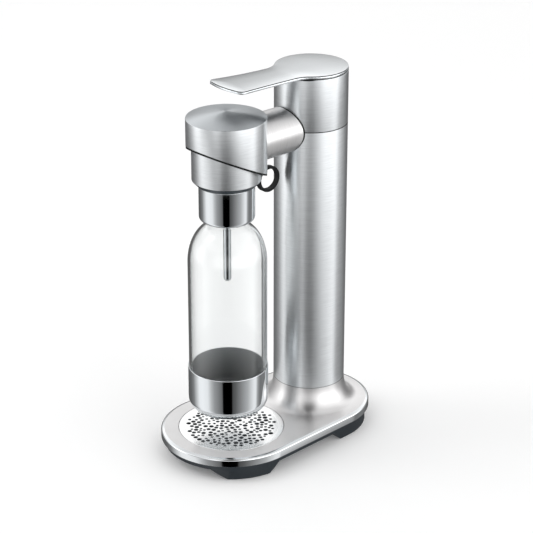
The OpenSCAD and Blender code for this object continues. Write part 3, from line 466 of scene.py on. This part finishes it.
def inset_of(x, y):
    """How far points lie inside the base's outline: the least, over all directions, of the outline's reach
    in that direction less the point's own."""
    edge = stadium(0, 0)[:, :2]
    turn_by = np.radians(np.arange(0, 360, 1.5))
    way = np.stack([np.cos(turn_by), np.sin(turn_by)])
    return ((edge @ way).max(axis=0)[None] - np.stack([x, y], axis=-1) @ way).min(axis=1)


def drain_holes(count, reach, web, seed=7):
    """Centres and radii of drain holes scattered in a disc: a spiral of even density is shaken, then holes
    that come nearer to each other than `web` push apart, and all stay `web` inside the disc."""
    least_r, more_r, shake, golden_angle, rounds = 1.45, 1.35, 1.5, 137.508, 260
    least_web, smallest = 0.5, 0.5
    rng = np.random.default_rng(seed)
    i = np.arange(count)
    r = least_r + more_r * rng.random(count)
    far, angle = (reach - 2) * np.sqrt((i + 0.6) / count), np.radians(golden_angle) * i
    at = np.stack([far * np.cos(angle), far * np.sin(angle)], axis=1) + rng.normal(0, shake, (count, 2))
    itself = np.eye(count) * 99
    for _ in range(rounds):
        gap = at[:, None] - at[None]
        apart = np.linalg.norm(gap, axis=2) + itself
        short = np.maximum(r[:, None] + r[None] + web - apart, 0)
        at += 0.5 * (gap / apart[..., None] * short[..., None]).sum(axis=1)
        away = np.linalg.norm(at, axis=1, keepdims=True)
        at *= np.minimum(1, (reach - web - r[:, None]) / np.maximum(away, 1e-6))
    clash = np.maximum(r[:, None] + r[None] + least_web - np.linalg.norm(at[:, None] - at[None], axis=2) - itself, 0)
    return at, np.maximum(r - clash.max(axis=1) / 2, smallest)


def perforated(centre, reach, low_z, high_z, at, radii, sides=14):
    """Flat plate with round holes: the disc and the holes are polygons, the plane between them is
    triangulated, and walls join the upper and the lower side along every open edge."""
    rim_sides = 180
    a = np.linspace(0, 2 * np.pi, rim_sides, endpoint=False)
    b = np.linspace(0, 2 * np.pi, sides, endpoint=False)
    rim = np.stack([reach * np.cos(a), reach * np.sin(a)], axis=1)
    holes = at[:, None] + radii[:, None, None] * np.stack([np.cos(b), np.sin(b)], axis=1)[None]
    flat = np.concatenate([rim, holes.reshape(-1, 2)]) + centre
    loops = [list(range(rim_sides))] + (rim_sides + np.arange(len(at) * sides).reshape(-1, sides)).tolist()
    points, _, tiles, _, _, within = delaunay_2d_cdt([Vector(p) for p in flat.tolist()], [], loops, 1, 1e-5)
    top = np.array([tile for tile, owners in zip(tiles, within) if owners == [0]])
    ends = np.concatenate([top[:, [0, 1]], top[:, [1, 2]], top[:, [2, 0]]])
    _, first, met = np.unique(np.sort(ends, axis=1), axis=0, return_index=True, return_counts=True)
    open_ends = ends[first[met == 1]]
    xy = np.array([p[:] for p in points])
    n = len(xy)
    both = np.concatenate([np.column_stack([xy, np.full(n, high_z)]), np.column_stack([xy, np.full(n, low_z)])])
    walls = np.column_stack([open_ends[:, 1], open_ends[:, 0], open_ends[:, 0] + n, open_ends[:, 1] + n])
    return both, top.tolist() + (top[:, ::-1] + n).tolist() + walls.tolist()


class WATER_OT_base(bpy.types.Operator):
    """Base cover with its polished band and flare, plastic underside, feet, screws, drip bowl and grille"""

    bl_idname = "water.base"
    bl_label = "Base and drip tray"

    def execute(self, context):
        sizes = context.scene.water_maker_sizes
        low, high = node_box("base_plate")
        band_z, flare_z = low[2], high[2]
        flare_r = node_box("column_tube")[1][0] + FLARE_W
        # The cover's flat parts are the CAD's; its edge and its flare are drawn finer below
        deck = smooth_copy("base_deck", "base_plate", "flare_steel", "stand", 30)
        b = bmesh.new()
        b.from_mesh(deck.data)
        at = np.array([f.calc_center_median()[:] for f in b.faces]) / MM
        drop = ((inset_of(at[:, 0], at[:, 1]) < BEVEL_W - 0.1)
                | (np.hypot(at[:, 0], at[:, 1] - COLUMN_Y) < flare_r - 0.1))
        bmesh.ops.delete(b, geom=[f for f, gone in zip(b.faces[:], drop) if gone], context="FACES")
        b.to_mesh(deck.data)
        b.free()
        # Band: a closed section that runs round the outline; bevel, rounded shoulder, upright side
        under = BEVEL_W + 0.6
        section = rounded([(2 * SHEET, DECK_Z - SHEET), (under, DECK_Z - 0.9), (under, DECK_Z - 0.02),
                           (BEVEL_W, DECK_Z), (0, DECK_Z - 1), (0, band_z), (SHEET, band_z), (SHEET, DECK_Z - 2.2),
                           (2 * SHEET, DECK_Z - SHEET)], [0.2, 0.05, 0.1, 2.2, 0.4, 0.3, 0.3], 8)
        rows = np.stack([stadium(inset, z) for inset, z in section])
        put("base_band", rows, grid_faces(len(rows), rows.shape[1], close_columns=True), "band_steel", "stand")
        # Flare: quarter ellipse, upright at the column and level at the deck
        skin = arc(flare_r, flare_z, FLARE_W, flare_z - DECK_Z, 270, 180, 40)
        back = arc(flare_r - SHEET, flare_z, FLARE_W, flare_z - DECK_Z + SHEET, 180, 270, 20)
        turned("base_flare", np.concatenate([skin, back, skin[:1]]), COLUMN_Y, "flare_steel", "stand")
        smooth_copy("base_underside", "base_chassis", "slate_plastic", "stand")
        low, high = node_box("drip_grille")
        centre, reach = (low[:2] + high[:2]) / 2, high[0]
        holed = reach - GRILLE_RIM
        holes = drain_holes(sizes.hole_count, holed, sizes.hole_web)
        points, faces = perforated(centre, holed + 0.8, low[2] + 0.1, high[2] - 0.1, *holes)
        plate = put("drip_grille_plate", points, faces, "grille_steel", "grille", ["drip_grille"], 35)
        # The holes' walls get a dull dark grey finish that paints the shade in the holes, so they look dark from any
        # side
        second_finish(plate, "punched_steel", lambda at, way: (
            (np.abs(way[:, 2]) < 0.5) & (np.hypot(at[:, 0], at[:, 1] - centre[1]) < holed)))
        inner = holed + 0.6
        section = rounded([(inner, low[2] + 0.4), (inner, low[2]), (reach, low[2]), (reach, high[2]), (inner, high[2]),
                           (inner, low[2] + 0.4)], [0.1, 0.3, 0.7, 0.3], 6)
        turned("drip_grille_rim", section, centre[1], "grille_steel", "grille")
        smooth_copy("drip_bowl_inside", "drip_bowl", "slate_plastic", "bowl")
        finish_nodes(["rubber_feet", "base_screws"])
        return {"FINISHED"}


class WATER_OT_column(bpy.types.Operator):
    """Column, upper housing and arm, with black rings in their joints that paint the joints' shade as dark lines"""

    bl_idname = "water.column"
    bl_label = "Column and arm"

    def execute(self, context):
        line = context.scene.water_maker_sizes.joint_line
        low, high = node_box("column_tube")
        outer = high[0]
        inner = outer - SHEET
        section = ring_section(outer, inner, low[2], high[2], line / 2)
        turned("column_cover", section, COLUMN_Y, "column_steel", "stand", ["column_tube"])
        # Black rings in the seams paint the shade of the joint gaps as dark lines
        for name, z, half in (("column_shade_ring", high[2] + 0.1, line / 2), ("foot_shade_ring", low[2], line / 4)):
            section = ring_section(outer - 0.03, inner, z - half, z + half, 0.05)
            turned(name, section, COLUMN_Y, "black_plastic", "stand")
        low, high = node_box("upper_housing")
        points, faces = turn(ring_section(outer, inner, low[2], high[2], line / 2), COLUMN_Y)
        # The rim dips at the front under the lever, and comes back smoothly at both sides
        dip, half_w, ramp_w = 0.9, 31, 3
        x, y, z = points[..., 0], points[..., 1], points[..., 2]
        front = np.clip((half_w - np.abs(x)) / ramp_w, 0, 1) * (y < COLUMN_Y - 20)
        z -= dip * front * (z > high[2] - 2)
        put("upper_cover", points, faces, "column_steel", "stand", ["upper_housing"])
        # Arm: circle in X and Z carried along Y; both ends follow the upright cylinders that it meets
        arm_r = node_box("arm_tube")[1][0]
        arm_z = middle("arm_tube")[2]
        head_r = node_box("head_housing")[1][0]
        steps = 192
        a = np.linspace(0, 2 * np.pi, steps, endpoint=False)[:, None]
        # Share of the wall inwards, and share of the way from the head to the column
        section = np.array([(0.5, 0), (0.02, 0), (0, 0.01), (0, 0.99), (0.008, 1), (0.5, 1), (1, 1), (1, 0), (0.5, 0)])

        def along_y(name, r, wall, ends, finish, nodes=()):
            """Tube at the arm's height; `ends` gives where it starts and ends at each of its points' x."""
            radius = r - section[:, 0][None] * wall
            x = radius * np.cos(a)
            start, end = ends(x)
            y = start + (end - start) * section[:, 1][None]
            points = np.stack([x, y, arm_z + radius * np.sin(a)], axis=-1)
            put(name, points, grid_faces(steps, len(section), close_rows=True), finish, "stand", nodes)

        def column_skin(x, r):
            """Front of an upright cylinder about the column's axis."""
            return COLUMN_Y - np.sqrt(r ** 2 - x ** 2)

        along_y("arm_cover", arm_r, SHEET, lambda x: (BOTTLE_Y + np.sqrt((head_r - 0.3) ** 2 - x ** 2),
                                                      column_skin(x, outer + line)), "arm_steel", ["arm_tube"])
        # A black ring at the arm's end paints the shade of its joint with the column as a dark line
        along_y("arm_shade_ring", arm_r - 0.15, 1.5, lambda x: (column_skin(x, outer - 0.2) - line - 1,
                                                          column_skin(x, outer - 0.2)), "black_plastic")
        return {"FINISHED"}


class WATER_OT_head(bpy.types.Operator):
    """Head with its slanted skirt and spun lid, and the tilting holder"""

    bl_idname = "water.head"
    bl_label = "Head and holder"

    def execute(self, context):
        sizes = context.scene.water_maker_sizes
        r, line = sizes.edge_round, sizes.joint_line
        low, high = node_box("head_housing")
        lid_top = node_box("head_lid")[1][2]
        outer = high[0]
        wall = 1.3
        inner = outer - wall
        back_z, front_z = low[2], high[2] - SKIRT_FRONT_H

        def slant(y):
            """Height of the plane that cuts the skirt's lower rim, which climbs from the back to the front."""
            return (front_z + back_z) / 2 - (front_z - back_z) / 2 * (y - BOTTLE_Y) / outer

        # Skirt: a tube whose lower end follows the slant
        blank_h = 20
        points, faces = turn(ring_section(outer, inner, 0, blank_h, r), BOTTLE_Y)
        y, z = points[..., 1], points[..., 2]
        points[..., 2] = np.where(z > blank_h / 2, high[2] - (blank_h - z), slant(y) + line + z)
        put("head_cover", points, faces, "head_steel", "stand", ["head_housing"])
        # Black ring in the gap under the skirt, a painted shade: its lower edge shows as a dark line under the steel
        points, faces = turn(ring_section(outer - 0.2, inner - 0.6, 0, 4, 0.15), BOTTLE_Y)
        points[..., 2] += slant(points[..., 1])
        put("head_lining", points, faces, "black_plastic", "stand")
        lid_r = outer - 0.1
        dome = lid_top - high[2]
        ball = (lid_r ** 2 + dome ** 2) / (2 * dome)
        edge = math.degrees(math.asin(lid_r / ball))
        top = arc(0, lid_top - ball, ball, ball, 90, 90 - edge + 0.7, 40)
        profile = np.concatenate([top, [(lid_r - 0.12, high[2] + 0.12), (lid_r - 0.3, high[2] + 0.02),
                                        (inner - 1, high[2] - 0.1), (0, high[2] - 0.1)]])
        profile[0, 0] = 0
        turned("head_lid_dome", profile, BOTTLE_Y, "lid_steel", "stand", ["head_lid"])
        low, high = node_box("holder_shell")
        outer = high[0]
        tilt_z = middle("tilt_pins")[2]
        wall = 1.5
        crown = high[2] - tilt_z
        reach = math.degrees(math.asin(crown / outer))
        inner_reach = math.degrees(math.asin((crown - wall) / (outer - wall)))
        profile = np.concatenate([
            [(0, high[2]), (outer * math.cos(math.radians(reach)), high[2])],
            arc(0, tilt_z, outer, outer, reach, 0, 10),
            rounded([(outer, tilt_z), (outer, low[2]), (outer - wall, low[2]), (outer - wall, tilt_z)], [0.5, 0.3])[1:],
            arc(0, tilt_z, outer - wall, outer - wall, 0, inner_reach, 10),
            [(0, high[2] - wall)]])
        turned("holder_cover", profile, BOTTLE_Y, "head_steel", "holder", ["holder_shell"])
        smooth_copy("holder_bevel_ring", "holder_bevel", "slate_plastic", "holder")
        smooth_copy("pull_ring", "release_ring", "black_plastic", "ring")
        finish_nodes(["head_block", "tilt_pins", "nozzle_block", "thread_ring", "bottle_gasket", "relief_body",
                      "relief_spring", "relief_poppet", "ring_pin"])
        return {"FINISHED"}


class WATER_OT_bottle(bpy.types.Operator):
    """Clear bottle with its chrome collar and cup, and the wand"""

    bl_idname = "water.bottle"
    bl_label = "Bottle and wand"

    def execute(self, context):
        low, high = node_box("bottle_glass")
        outer = high[0]
        wall = 2.6
        corner = 13
        shoulder_z, shoulder_w, shoulder_h, end = 222, 29, 44, 83
        neck_r, bore_r, neck_z = 16, 13.4, shoulder_z + shoulder_h + 2

        def skin(d):
            """Outline of the bottle drawn in by d: floor, raised in the middle on the inside, quarter round,
            straight side, elliptic shoulder, neck."""
            rise = 2.4 * d / wall
            z = low[2] + d
            return np.concatenate([
                [(0, z + rise), (12, z + rise), (17, z + rise * 0.3), (21, z)],
                arc(outer - corner, low[2] + corner, corner - d, corner - d, -90, 0, 12),
                arc(outer - shoulder_w, shoulder_z, shoulder_w - d, shoulder_h - d, 0, end, 24),
                [(neck_r - d, neck_z)]])

        neck = rounded([(neck_r, neck_z), (neck_r, high[2]), (bore_r, high[2]), (bore_r, neck_z)], [0.6, 0.6])
        profile = np.concatenate([skin(0), neck, skin(wall)[::-1]])
        turned("bottle_shell", profile, BOTTLE_Y, "clear", "bottle", ["bottle_glass"])
        low, high = node_box("bottle_collar")
        r = high[0]
        hole_r, sheet, bend = neck_r + 0.1, 1.5, 4
        profile = np.concatenate([
            [(hole_r, low[2] + 1)], [(hole_r, low[2])], arc(r - bend, low[2] + bend, bend, bend, -90, 0, 10),
            rounded([(r, low[2] + 5), (r, high[2]), (r - sheet, high[2]), (r - sheet, low[2] + 2), (hole_r, low[2] + 2),
                     (hole_r, low[2] + 1)], [0.4, 0.4, 2, 0.1])])
        turned("bottle_collar_ring", profile, BOTTLE_Y, "chrome", "bottle", ["bottle_collar"])
        low, high = node_box("bottle_cup")
        r = high[0]
        sheet, bend = 0.9, 14
        side_z = low[2] + bend + 1
        profile = np.concatenate([
            [(0, low[2])], arc(r - bend, low[2] + bend, bend, bend, -90, 0, 16),
            rounded([(r, side_z), (r, high[2]), (r - sheet, high[2]), (r - sheet, side_z)], [0.4, 0.4]),
            arc(r - bend, low[2] + bend, bend - sheet, bend - sheet, 0, -90, 16), [(0, low[2] + sheet)]])
        cup = turned("bottle_cup_shell", profile, BOTTLE_Y, "chrome", "bottle", ["bottle_cup"])
        # Inside, for the photo's grey: faces that look to the axis or up
        second_finish(cup, "cup_inside", lambda at, way: (
            ((at[:, :2] - [0, BOTTLE_Y]) * way[:, :2]).sum(axis=1) < 20 * way[:, 2] - 0.01))
        low, high = node_box("wand_tube")
        tip = node_box("wand_tip")[0][2]
        r = high[0]
        profile = np.concatenate([[(0.6, tip + 4)], [(0.6, tip + 0.05)], arc(0, tip + r, r, r, -80, 0, 12),
                                  [(r, high[2]), (2, high[2]), (2, tip + 8), (0.6, tip + 8), (0.6, tip + 4)]])
        turned("wand", profile, BOTTLE_Y, "chrome", "holder", ["wand_tube", "wand_tip"], steps=64)
        return {"FINISHED"}


def lever_edge():
    """Right-hand edge of the lever seen from above, from the middle of its tip to the back of the disc, as
    even points: tip bow, corner arc, waisted side, blend arc, disc arc, as the CAD outline has them."""
    waist, tip_w, corner, bow, blend = 44, 52, 7, 2.5, 26
    low, high = node_box("lever_shell")
    tip_y, disc_r = low[1] + bow, high[0]
    blend_x = waist / 2 + blend
    blend_y = COLUMN_Y - math.sqrt((disc_r + blend) ** 2 - blend_x ** 2)
    join = math.degrees(math.atan2(blend_x, COLUMN_Y - blend_y))
    t = np.linspace(0, 1, 9)[:-1, None]
    corner_x = tip_w / 2 - corner
    bow_part = np.hstack([corner_x * t, tip_y - bow * (1 - t ** 2)])
    t = np.linspace(0, 1, 25)[1:-1, None]
    side = np.hstack([waist / 2 + (tip_w - waist) / 2 * (1 - t) ** 2, (tip_y + corner) * (1 - t) + blend_y * t])
    return np.concatenate([
        bow_part, arc(corner_x, tip_y + corner, corner, corner, -90, 0, 10), side,
        arc(blend_x, blend_y, blend, blend, 180, 90 + join, 12),
        arc(0, COLUMN_Y, disc_r, disc_r, -90 + join, 90, 48)[1:]])


class WATER_OT_lever(bpy.types.Operator):
    """Lever: bright lower shell and crowned satin top plate"""

    bl_idname = "water.lever"
    bl_label = "Lever"

    def execute(self, context):
        sizes = context.scene.water_maker_sizes
        edge = lever_edge()
        loop = np.concatenate([edge, edge[-2:0:-1] * [-1, 1]])
        count = len(loop)
        tip_y = edge[:, 1].min()
        spine = np.stack([np.zeros(count), np.clip(loop[:, 1], tip_y + 16, COLUMN_Y)], axis=1)
        shell_low, shell_high = node_box("lever_shell")
        top_low, top_high = node_box("lever_top")
        column_front = COLUMN_Y - shell_high[0]
        climb, bend = 3.2, 1.4

        def lift(y):
            """The lever climbs from the column's front to its tip, level at first: the share to the power `bend`."""
            return climb * np.clip((column_front - y) / (column_front - tip_y), 0, 1) ** bend

        def strip(inset, share, height):
            """Ring of the outline drawn in by inset mm, then moved to a share of the way out from the spine."""
            away = loop - spine
            far = np.linalg.norm(away, axis=1, keepdims=True)
            xy = spine + away / far * (far - inset) * share
            return np.concatenate([xy, (height + lift(xy[:, 1]))[:, None]], axis=1)

        def closed(name, rows, finish, nodes=()):
            """Piece from rings of (inset, share, height) that run from its middle round its rim and back."""
            points = np.stack([strip(*row) for row in rows])
            return put(name, points, grid_faces(len(rows), count, close_columns=True), finish, "lever", nodes)

        lip_low = shell_low[2]
        seat = top_low[2] + 0.05
        lip_high = seat - 0.85
        rows = [(0.6, 1, lip_low), (0.15, 1, lip_low + 0.12), (0, 1, lip_low + 0.5), (0, 1, lip_high - 0.5),
                (0.12, 1, lip_high - 0.12), (0.5, 1, lip_high), (0.8, 1, lip_high - 0.1), (1.2, 1, lip_high - 0.3)]
        rows += [(1.2, share, lip_high - 0.9) for share in (1, 0.5, 0)]
        rows += [(2.0, share, lip_high - 1.4) for share in (0, 0.5, 0.8, 1)]
        lip = closed("lever_lip", rows + [(2.0, 1, lip_low), (0.6, 1, lip_low)], "lip_steel", ["lever_shell"])
        # Underneath, the hollow shell is lined with grey plastic
        second_finish(lip, "grey_plastic", lambda at, way: (way[:, 2] < -0.9) & (at[:, 2] > lip_high - 2))
        rows = [(0.75, share, lip_high - 0.85) for share in (0, 0.5, 1)] + [(0.75, 1, seat + 0.05)]
        closed("lever_core", rows + [(0.8, share, seat + 0.06) for share in (1, 0.5, 0)], "black_plastic")
        crown = sizes.plate_crown
        rim = top_high[2] - climb - crown
        inset = shell_high[0] - top_high[0]
        rows = [(inset, 0, seat), (inset, 0.5, seat), (inset + 0.3, 1, seat), (inset, 1, seat + 0.04),
                (inset, 1, rim - 0.12), (inset + 0.06, 1, rim - 0.04), (inset + 0.25, 1, rim)]
        rows += [(inset + 0.25, share, rim + crown * (1 - share ** 2.5))
                 for share in (0.97, 0.93, 0.87, 0.8, 0.7, 0.6, 0.5, 0.4, 0.3, 0.2, 0.1, 0.0)]
        closed("lever_plate", rows, "lever_metal", ["lever_top"])
        return {"FINISHED"}


class WATER_OT_works(bpy.types.Operator):
    """Finishes of the parts inside the column and the head"""

    bl_idname = "water.works"
    bl_label = "Lever works and gas parts"

    def execute(self, context):
        finish_nodes(["spine_frame", "gas_cylinder", "cylinder_valve", "valve_pin", "valve_seal", "valve_connector",
                      "gas_hose", "push_pin", "pivot_bracket", "bracket_screws", "lever_pin", "rocker_pin",
                      "rocker_arm", "lever_spring", "lever_hub", "lever_screws"])
        return {"FINISHED"}


# Studio as polished metal sees it: degrees right of the camera, and how bright it is there
NEAR_CARDS = [(-180, 0.14), (-136, 0.14), (-116, 0.25), (-102, 0.62), (-90, 1.0), (-78, 1.05), (-60, 0.95),
              (-48, 0.55), (-39, 0.36), (-28, 0.26), (-16, 0.14), (-14, 0.0), (11, 0.0), (13, 0.08), (22, 0.13),
              (34, 0.24), (47, 0.38), (58, 0.5), (68, 0.72), (79, 0.95), (86, 0.95), (93, 0.4), (103, 0.2),
              (137, 0.25), (180, 0.14)]
# The ring of softboxes higher up, which brushed metal gathers in as well
HIGH_CARDS = [(-180, 0.15), (-145, 0.6), (-121, 0.8), (-104, 1.4), (-92, 2.2), (-80, 1.9), (-68, 0.8), (-56, 0.4),
              (-46, 0.7), (-37, 1.1), (-27, 1.7), (-16, 1.5), (0, 1.2), (11, 1.6), (22, 1.9), (31, 2.4), (42, 2.8),
              (54, 2.7), (70, 2.3), (90, 2.4), (100, 1.7), (110, 1.3), (120, 0.6), (138, 0.2), (180, 0.15)]
# What is left of the sky over each of these directions: a dark flag hangs over the camera
FLAG = [(-180, 1.0), (-70, 1.0), (-50, 0.85), (-27, 0.9), (-17, 0.4), (-10, 0.05), (12, 0.05), (20, 0.4), (32, 1.0),
        (180, 1.0)]
# Where the sky takes the cards' place behind the object, by the same degrees
BEHIND = [(-180, 1), (-155, 1), (-120, 0), (120, 0), (155, 1), (180, 1)]
# The sky: degrees above the horizon, and how bright it is
SKY = [(-90, 0.12), (2, 0.12), (8, 0.36), (13, 0.52), (18, 0.78), (26, 1.4), (36, 1.2), (50, 0.85), (65, 0.9),
       (90, 1.0)]
# By the same degrees above the horizon: where the high cards take over from the near ones, and the sky from both
HIGHER = [(-90, 0), (-14, 0), (-6, 1), (90, 1)]
ABOVE = [(-90, 0), (10, 0), (24, 1), (90, 1)]
# Light that the paper gives off to the eye alone, so that it comes out white
FLOOR_GLOW = 0.07
# Lamps: name, place and diameter in metres, power in watts
LAMPS = [("key", (-0.9, -1.1, 1.7), 0.9, 5.0), ("fill", (1.6, -0.6, 1.5), 1.4, 1.5)]


def level_ramp(tree, factor, stops, reach):
    """Grey ramp through (degrees, level) stops, for a factor that runs from 0 to 1 between -reach and reach."""
    ramp = add(tree, "ShaderNodeValToRGB", {0: factor})
    elements = ramp.color_ramp.elements
    for e, (degrees, level) in zip(elements, (stops[0], stops[-1])):
        e.position, e.color = (degrees + reach) / (2 * reach), (level, level, level, 1)
    for degrees, level in stops[1:-1]:
        elements.new((degrees + reach) / (2 * reach)).color = (level, level, level, 1)
    return ramp.outputs[0]


def turns_off_glass(tree, path):
    """How often the ray has turned, apart from its ways through glass; the world counts one turn more."""
    return calc(tree, "SUBTRACT", path.outputs["Ray Depth"], path.outputs["Transmission Depth"])


def mirrored_path(tree, path):
    """1 where the ray has met metal or another gloss before, also when it then went through the bottle: turns
    off matt surfaces are taken away as well."""
    glossy = calc(tree, "SUBTRACT", turns_off_glass(tree, path), path.outputs["Diffuse Depth"])
    return calc(tree, "GREATER_THAN", glossy, 0.5)


def studio_world(tree, camera_turn):
    """White for the eye, also through the bottle. For light and reflections, upright cards of light and dark
    stand round the object, as softboxes do in a studio; `camera_turn` is the camera's azimuth in turns.
    Mirror-like metal sees the near cards, a belt below the horizon; above it the cards melt into a sky."""
    tree.nodes.clear()
    axes = add(tree, "ShaderNodeSeparateXYZ", {0: add(tree, "ShaderNodeTexCoord").outputs["Generated"]})
    angle = calc(tree, "ARCTAN2", axes.outputs[0], calc(tree, "MULTIPLY", axes.outputs[1], -1.0))
    turned_by = calc(tree, "ADD", calc(tree, "DIVIDE", angle, 2 * math.pi), 0.5 - camera_turn)
    round_it = calc(tree, "FRACT", turned_by)
    steep = calc(tree, "ARCSINE", axes.outputs[2])
    height = add(tree, "ShaderNodeMapRange", {0: steep}, in_1=-math.pi / 2, in_2=math.pi / 2).outputs[0]
    near, high, flag, behind = [level_ramp(tree, round_it, stops, 180)
                                for stops in (NEAR_CARDS, HIGH_CARDS, FLAG, BEHIND)]
    open_sky, higher, above = [level_ramp(tree, height, stops, 90) for stops in (SKY, HIGHER, ABOVE)]
    cards = add(tree, "ShaderNodeMix", {0: higher, 6: near, 7: high}, data_type="RGBA").outputs[2]
    sky = vector(tree, "MULTIPLY", open_sky, flag)
    over = calc(tree, "MAXIMUM", behind, above)
    light = add(tree, "ShaderNodeMix", {0: over, 6: cards, 7: sky}, data_type="RGBA").outputs[2]
    studio = add(tree, "ShaderNodeBackground", {0: light}, in_Strength=1.0)
    white = add(tree, "ShaderNodeBackground", in_Color=(1, 1, 1, 1), in_Strength=1.0)
    # With the world's own turn, a ray that only went through glass has a rest of one
    path = add(tree, "ShaderNodeLightPath")
    straight = calc(tree, "LESS_THAN", turns_off_glass(tree, path), 1.5)
    through = calc(tree, "MULTIPLY", straight, path.outputs["Is Transmission Ray"])
    eye = calc(tree, "MAXIMUM", through, path.outputs["Is Camera Ray"])
    shown = add(tree, "ShaderNodeMixShader", {0: eye, 1: studio.outputs[0], 2: white.outputs[0]})
    add(tree, "ShaderNodeOutputWorld", {"Surface": shown.outputs[0]})


class WATER_OT_stage(bpy.types.Operator):
    """White floor, studio light and the camera"""

    bl_idname = "water.stage"
    bl_label = "Stage"

    def execute(self, context):
        scene = context.scene
        s = scene.water_maker_stage
        a, e = math.radians(s.azimuth), math.radians(s.elevation)
        back = Vector((math.sin(a) * math.cos(e), -math.cos(a) * math.cos(e), math.sin(e)))
        right = Vector((math.cos(a), math.sin(a), 0))
        up = back.cross(right)
        data = bpy.data.cameras.new("camera")
        data.sensor_width = 36
        data.lens = s.lens
        data.clip_start, data.clip_end = 0.1, 30
        camera = bpy.data.objects.new("camera", data)
        scene.collection.objects.link(camera)
        place = (back * s.distance + right * s.across + up * s.up + Vector((0, COLUMN_Y, 0))) * MM
        camera.matrix_world = Matrix.Translation(place) @ Matrix((right, up, back)).transposed().to_4x4()
        scene.camera = camera
        scene.view_settings.view_transform = "Standard"

        mesh = bpy.data.meshes.new("floor")
        half = 6
        mesh.from_pydata([(-half, -half, 0), (half, -half, 0), (half, half, 0), (-half, half, 0)], [], [(0, 1, 2, 3)])
        floor = bpy.data.objects.new("floor", mesh)
        scene.collection.objects.link(floor)
        m, tree, shader = base_material("white_paper", "#FBFBFB", 0.0, 0.9, Specular_IOR_Level=0.0)
        path = add(tree, "ShaderNodeLightPath")
        seen = calc(tree, "MAXIMUM", path.outputs["Is Camera Ray"], path.outputs["Is Transmission Ray"])
        tree.links.new(calc(tree, "MULTIPLY", seen, FLOOR_GLOW), shader.inputs["Emission Strength"])
        shader.inputs["Emission Color"].default_value = (1, 1, 1, 1)
        # Metal inside the bottle mirrors the studio's cards, not the paper
        clear = add(tree, "ShaderNodeBsdfTransparent")
        away = mirrored_path(tree, path)
        mixed = add(tree, "ShaderNodeMixShader", {0: away, 1: shader.outputs[0], 2: clear.outputs[0]})
        tree.links.new(mixed.outputs[0], tree.nodes["Material Output"].inputs["Surface"])
        mesh.materials.append(m)
        floor.visible_glossy = False

        for name, where, size, power in LAMPS:
            light = bpy.data.lights.new(name, "AREA")
            light.shape = "DISK"
            light.size = size
            light.energy = power
            lamp = bpy.data.objects.new(name, light)
            lamp.location = where
            lamp.rotation_mode = "QUATERNION"
            lamp.rotation_quaternion = (Vector((0, 0, 0.12)) - Vector(where)).to_track_quat("-Z", "Y")
            lamp.visible_glossy = False
            scene.collection.objects.link(lamp)

        world = bpy.data.worlds.new("studio")
        world.use_nodes = True
        scene.world = world
        studio_world(world.node_tree, s.azimuth / 360)
        return {"FINISHED"}


class WATER_PT_panel(bpy.types.Panel):
    """Lists the operators and settings of the water maker"""

    bl_idname = "WATER_PT_panel"
    bl_label = "Water maker"
    bl_space_type = "VIEW_3D"
    bl_region_type = "UI"
    bl_category = "Water maker"

    def draw(self, context):
        for group in GROUPS:
            settings = getattr(context.scene, group)
            for key in settings.__annotations__:
                self.layout.prop(settings, key)
        for operator in OPERATORS:
            self.layout.operator(operator.bl_idname)


OPERATORS = (WATER_OT_base, WATER_OT_column, WATER_OT_head, WATER_OT_bottle, WATER_OT_lever, WATER_OT_works,
             WATER_OT_stage)
GROUPS = {"water_maker_sizes": WaterMakerSizes, "water_maker_colours": WaterMakerColours,
          "water_maker_stage": WaterMakerStage}


def register():
    for c in (*GROUPS.values(), *OPERATORS, WATER_PT_panel):
        bpy.utils.register_class(c)
    for name, group in GROUPS.items():
        setattr(bpy.types.Scene, name, PointerProperty(type=group))


def unregister():
    for name in GROUPS:
        delattr(bpy.types.Scene, name)
    for c in (WATER_PT_panel, *OPERATORS, *GROUPS.values()):
        bpy.utils.unregister_class(c)


def main():
    register()
    for operator in OPERATORS:
        group, name = operator.bl_idname.split(".")
        getattr(getattr(bpy.ops, group), name)()


if __name__ == "__main__":
    main()
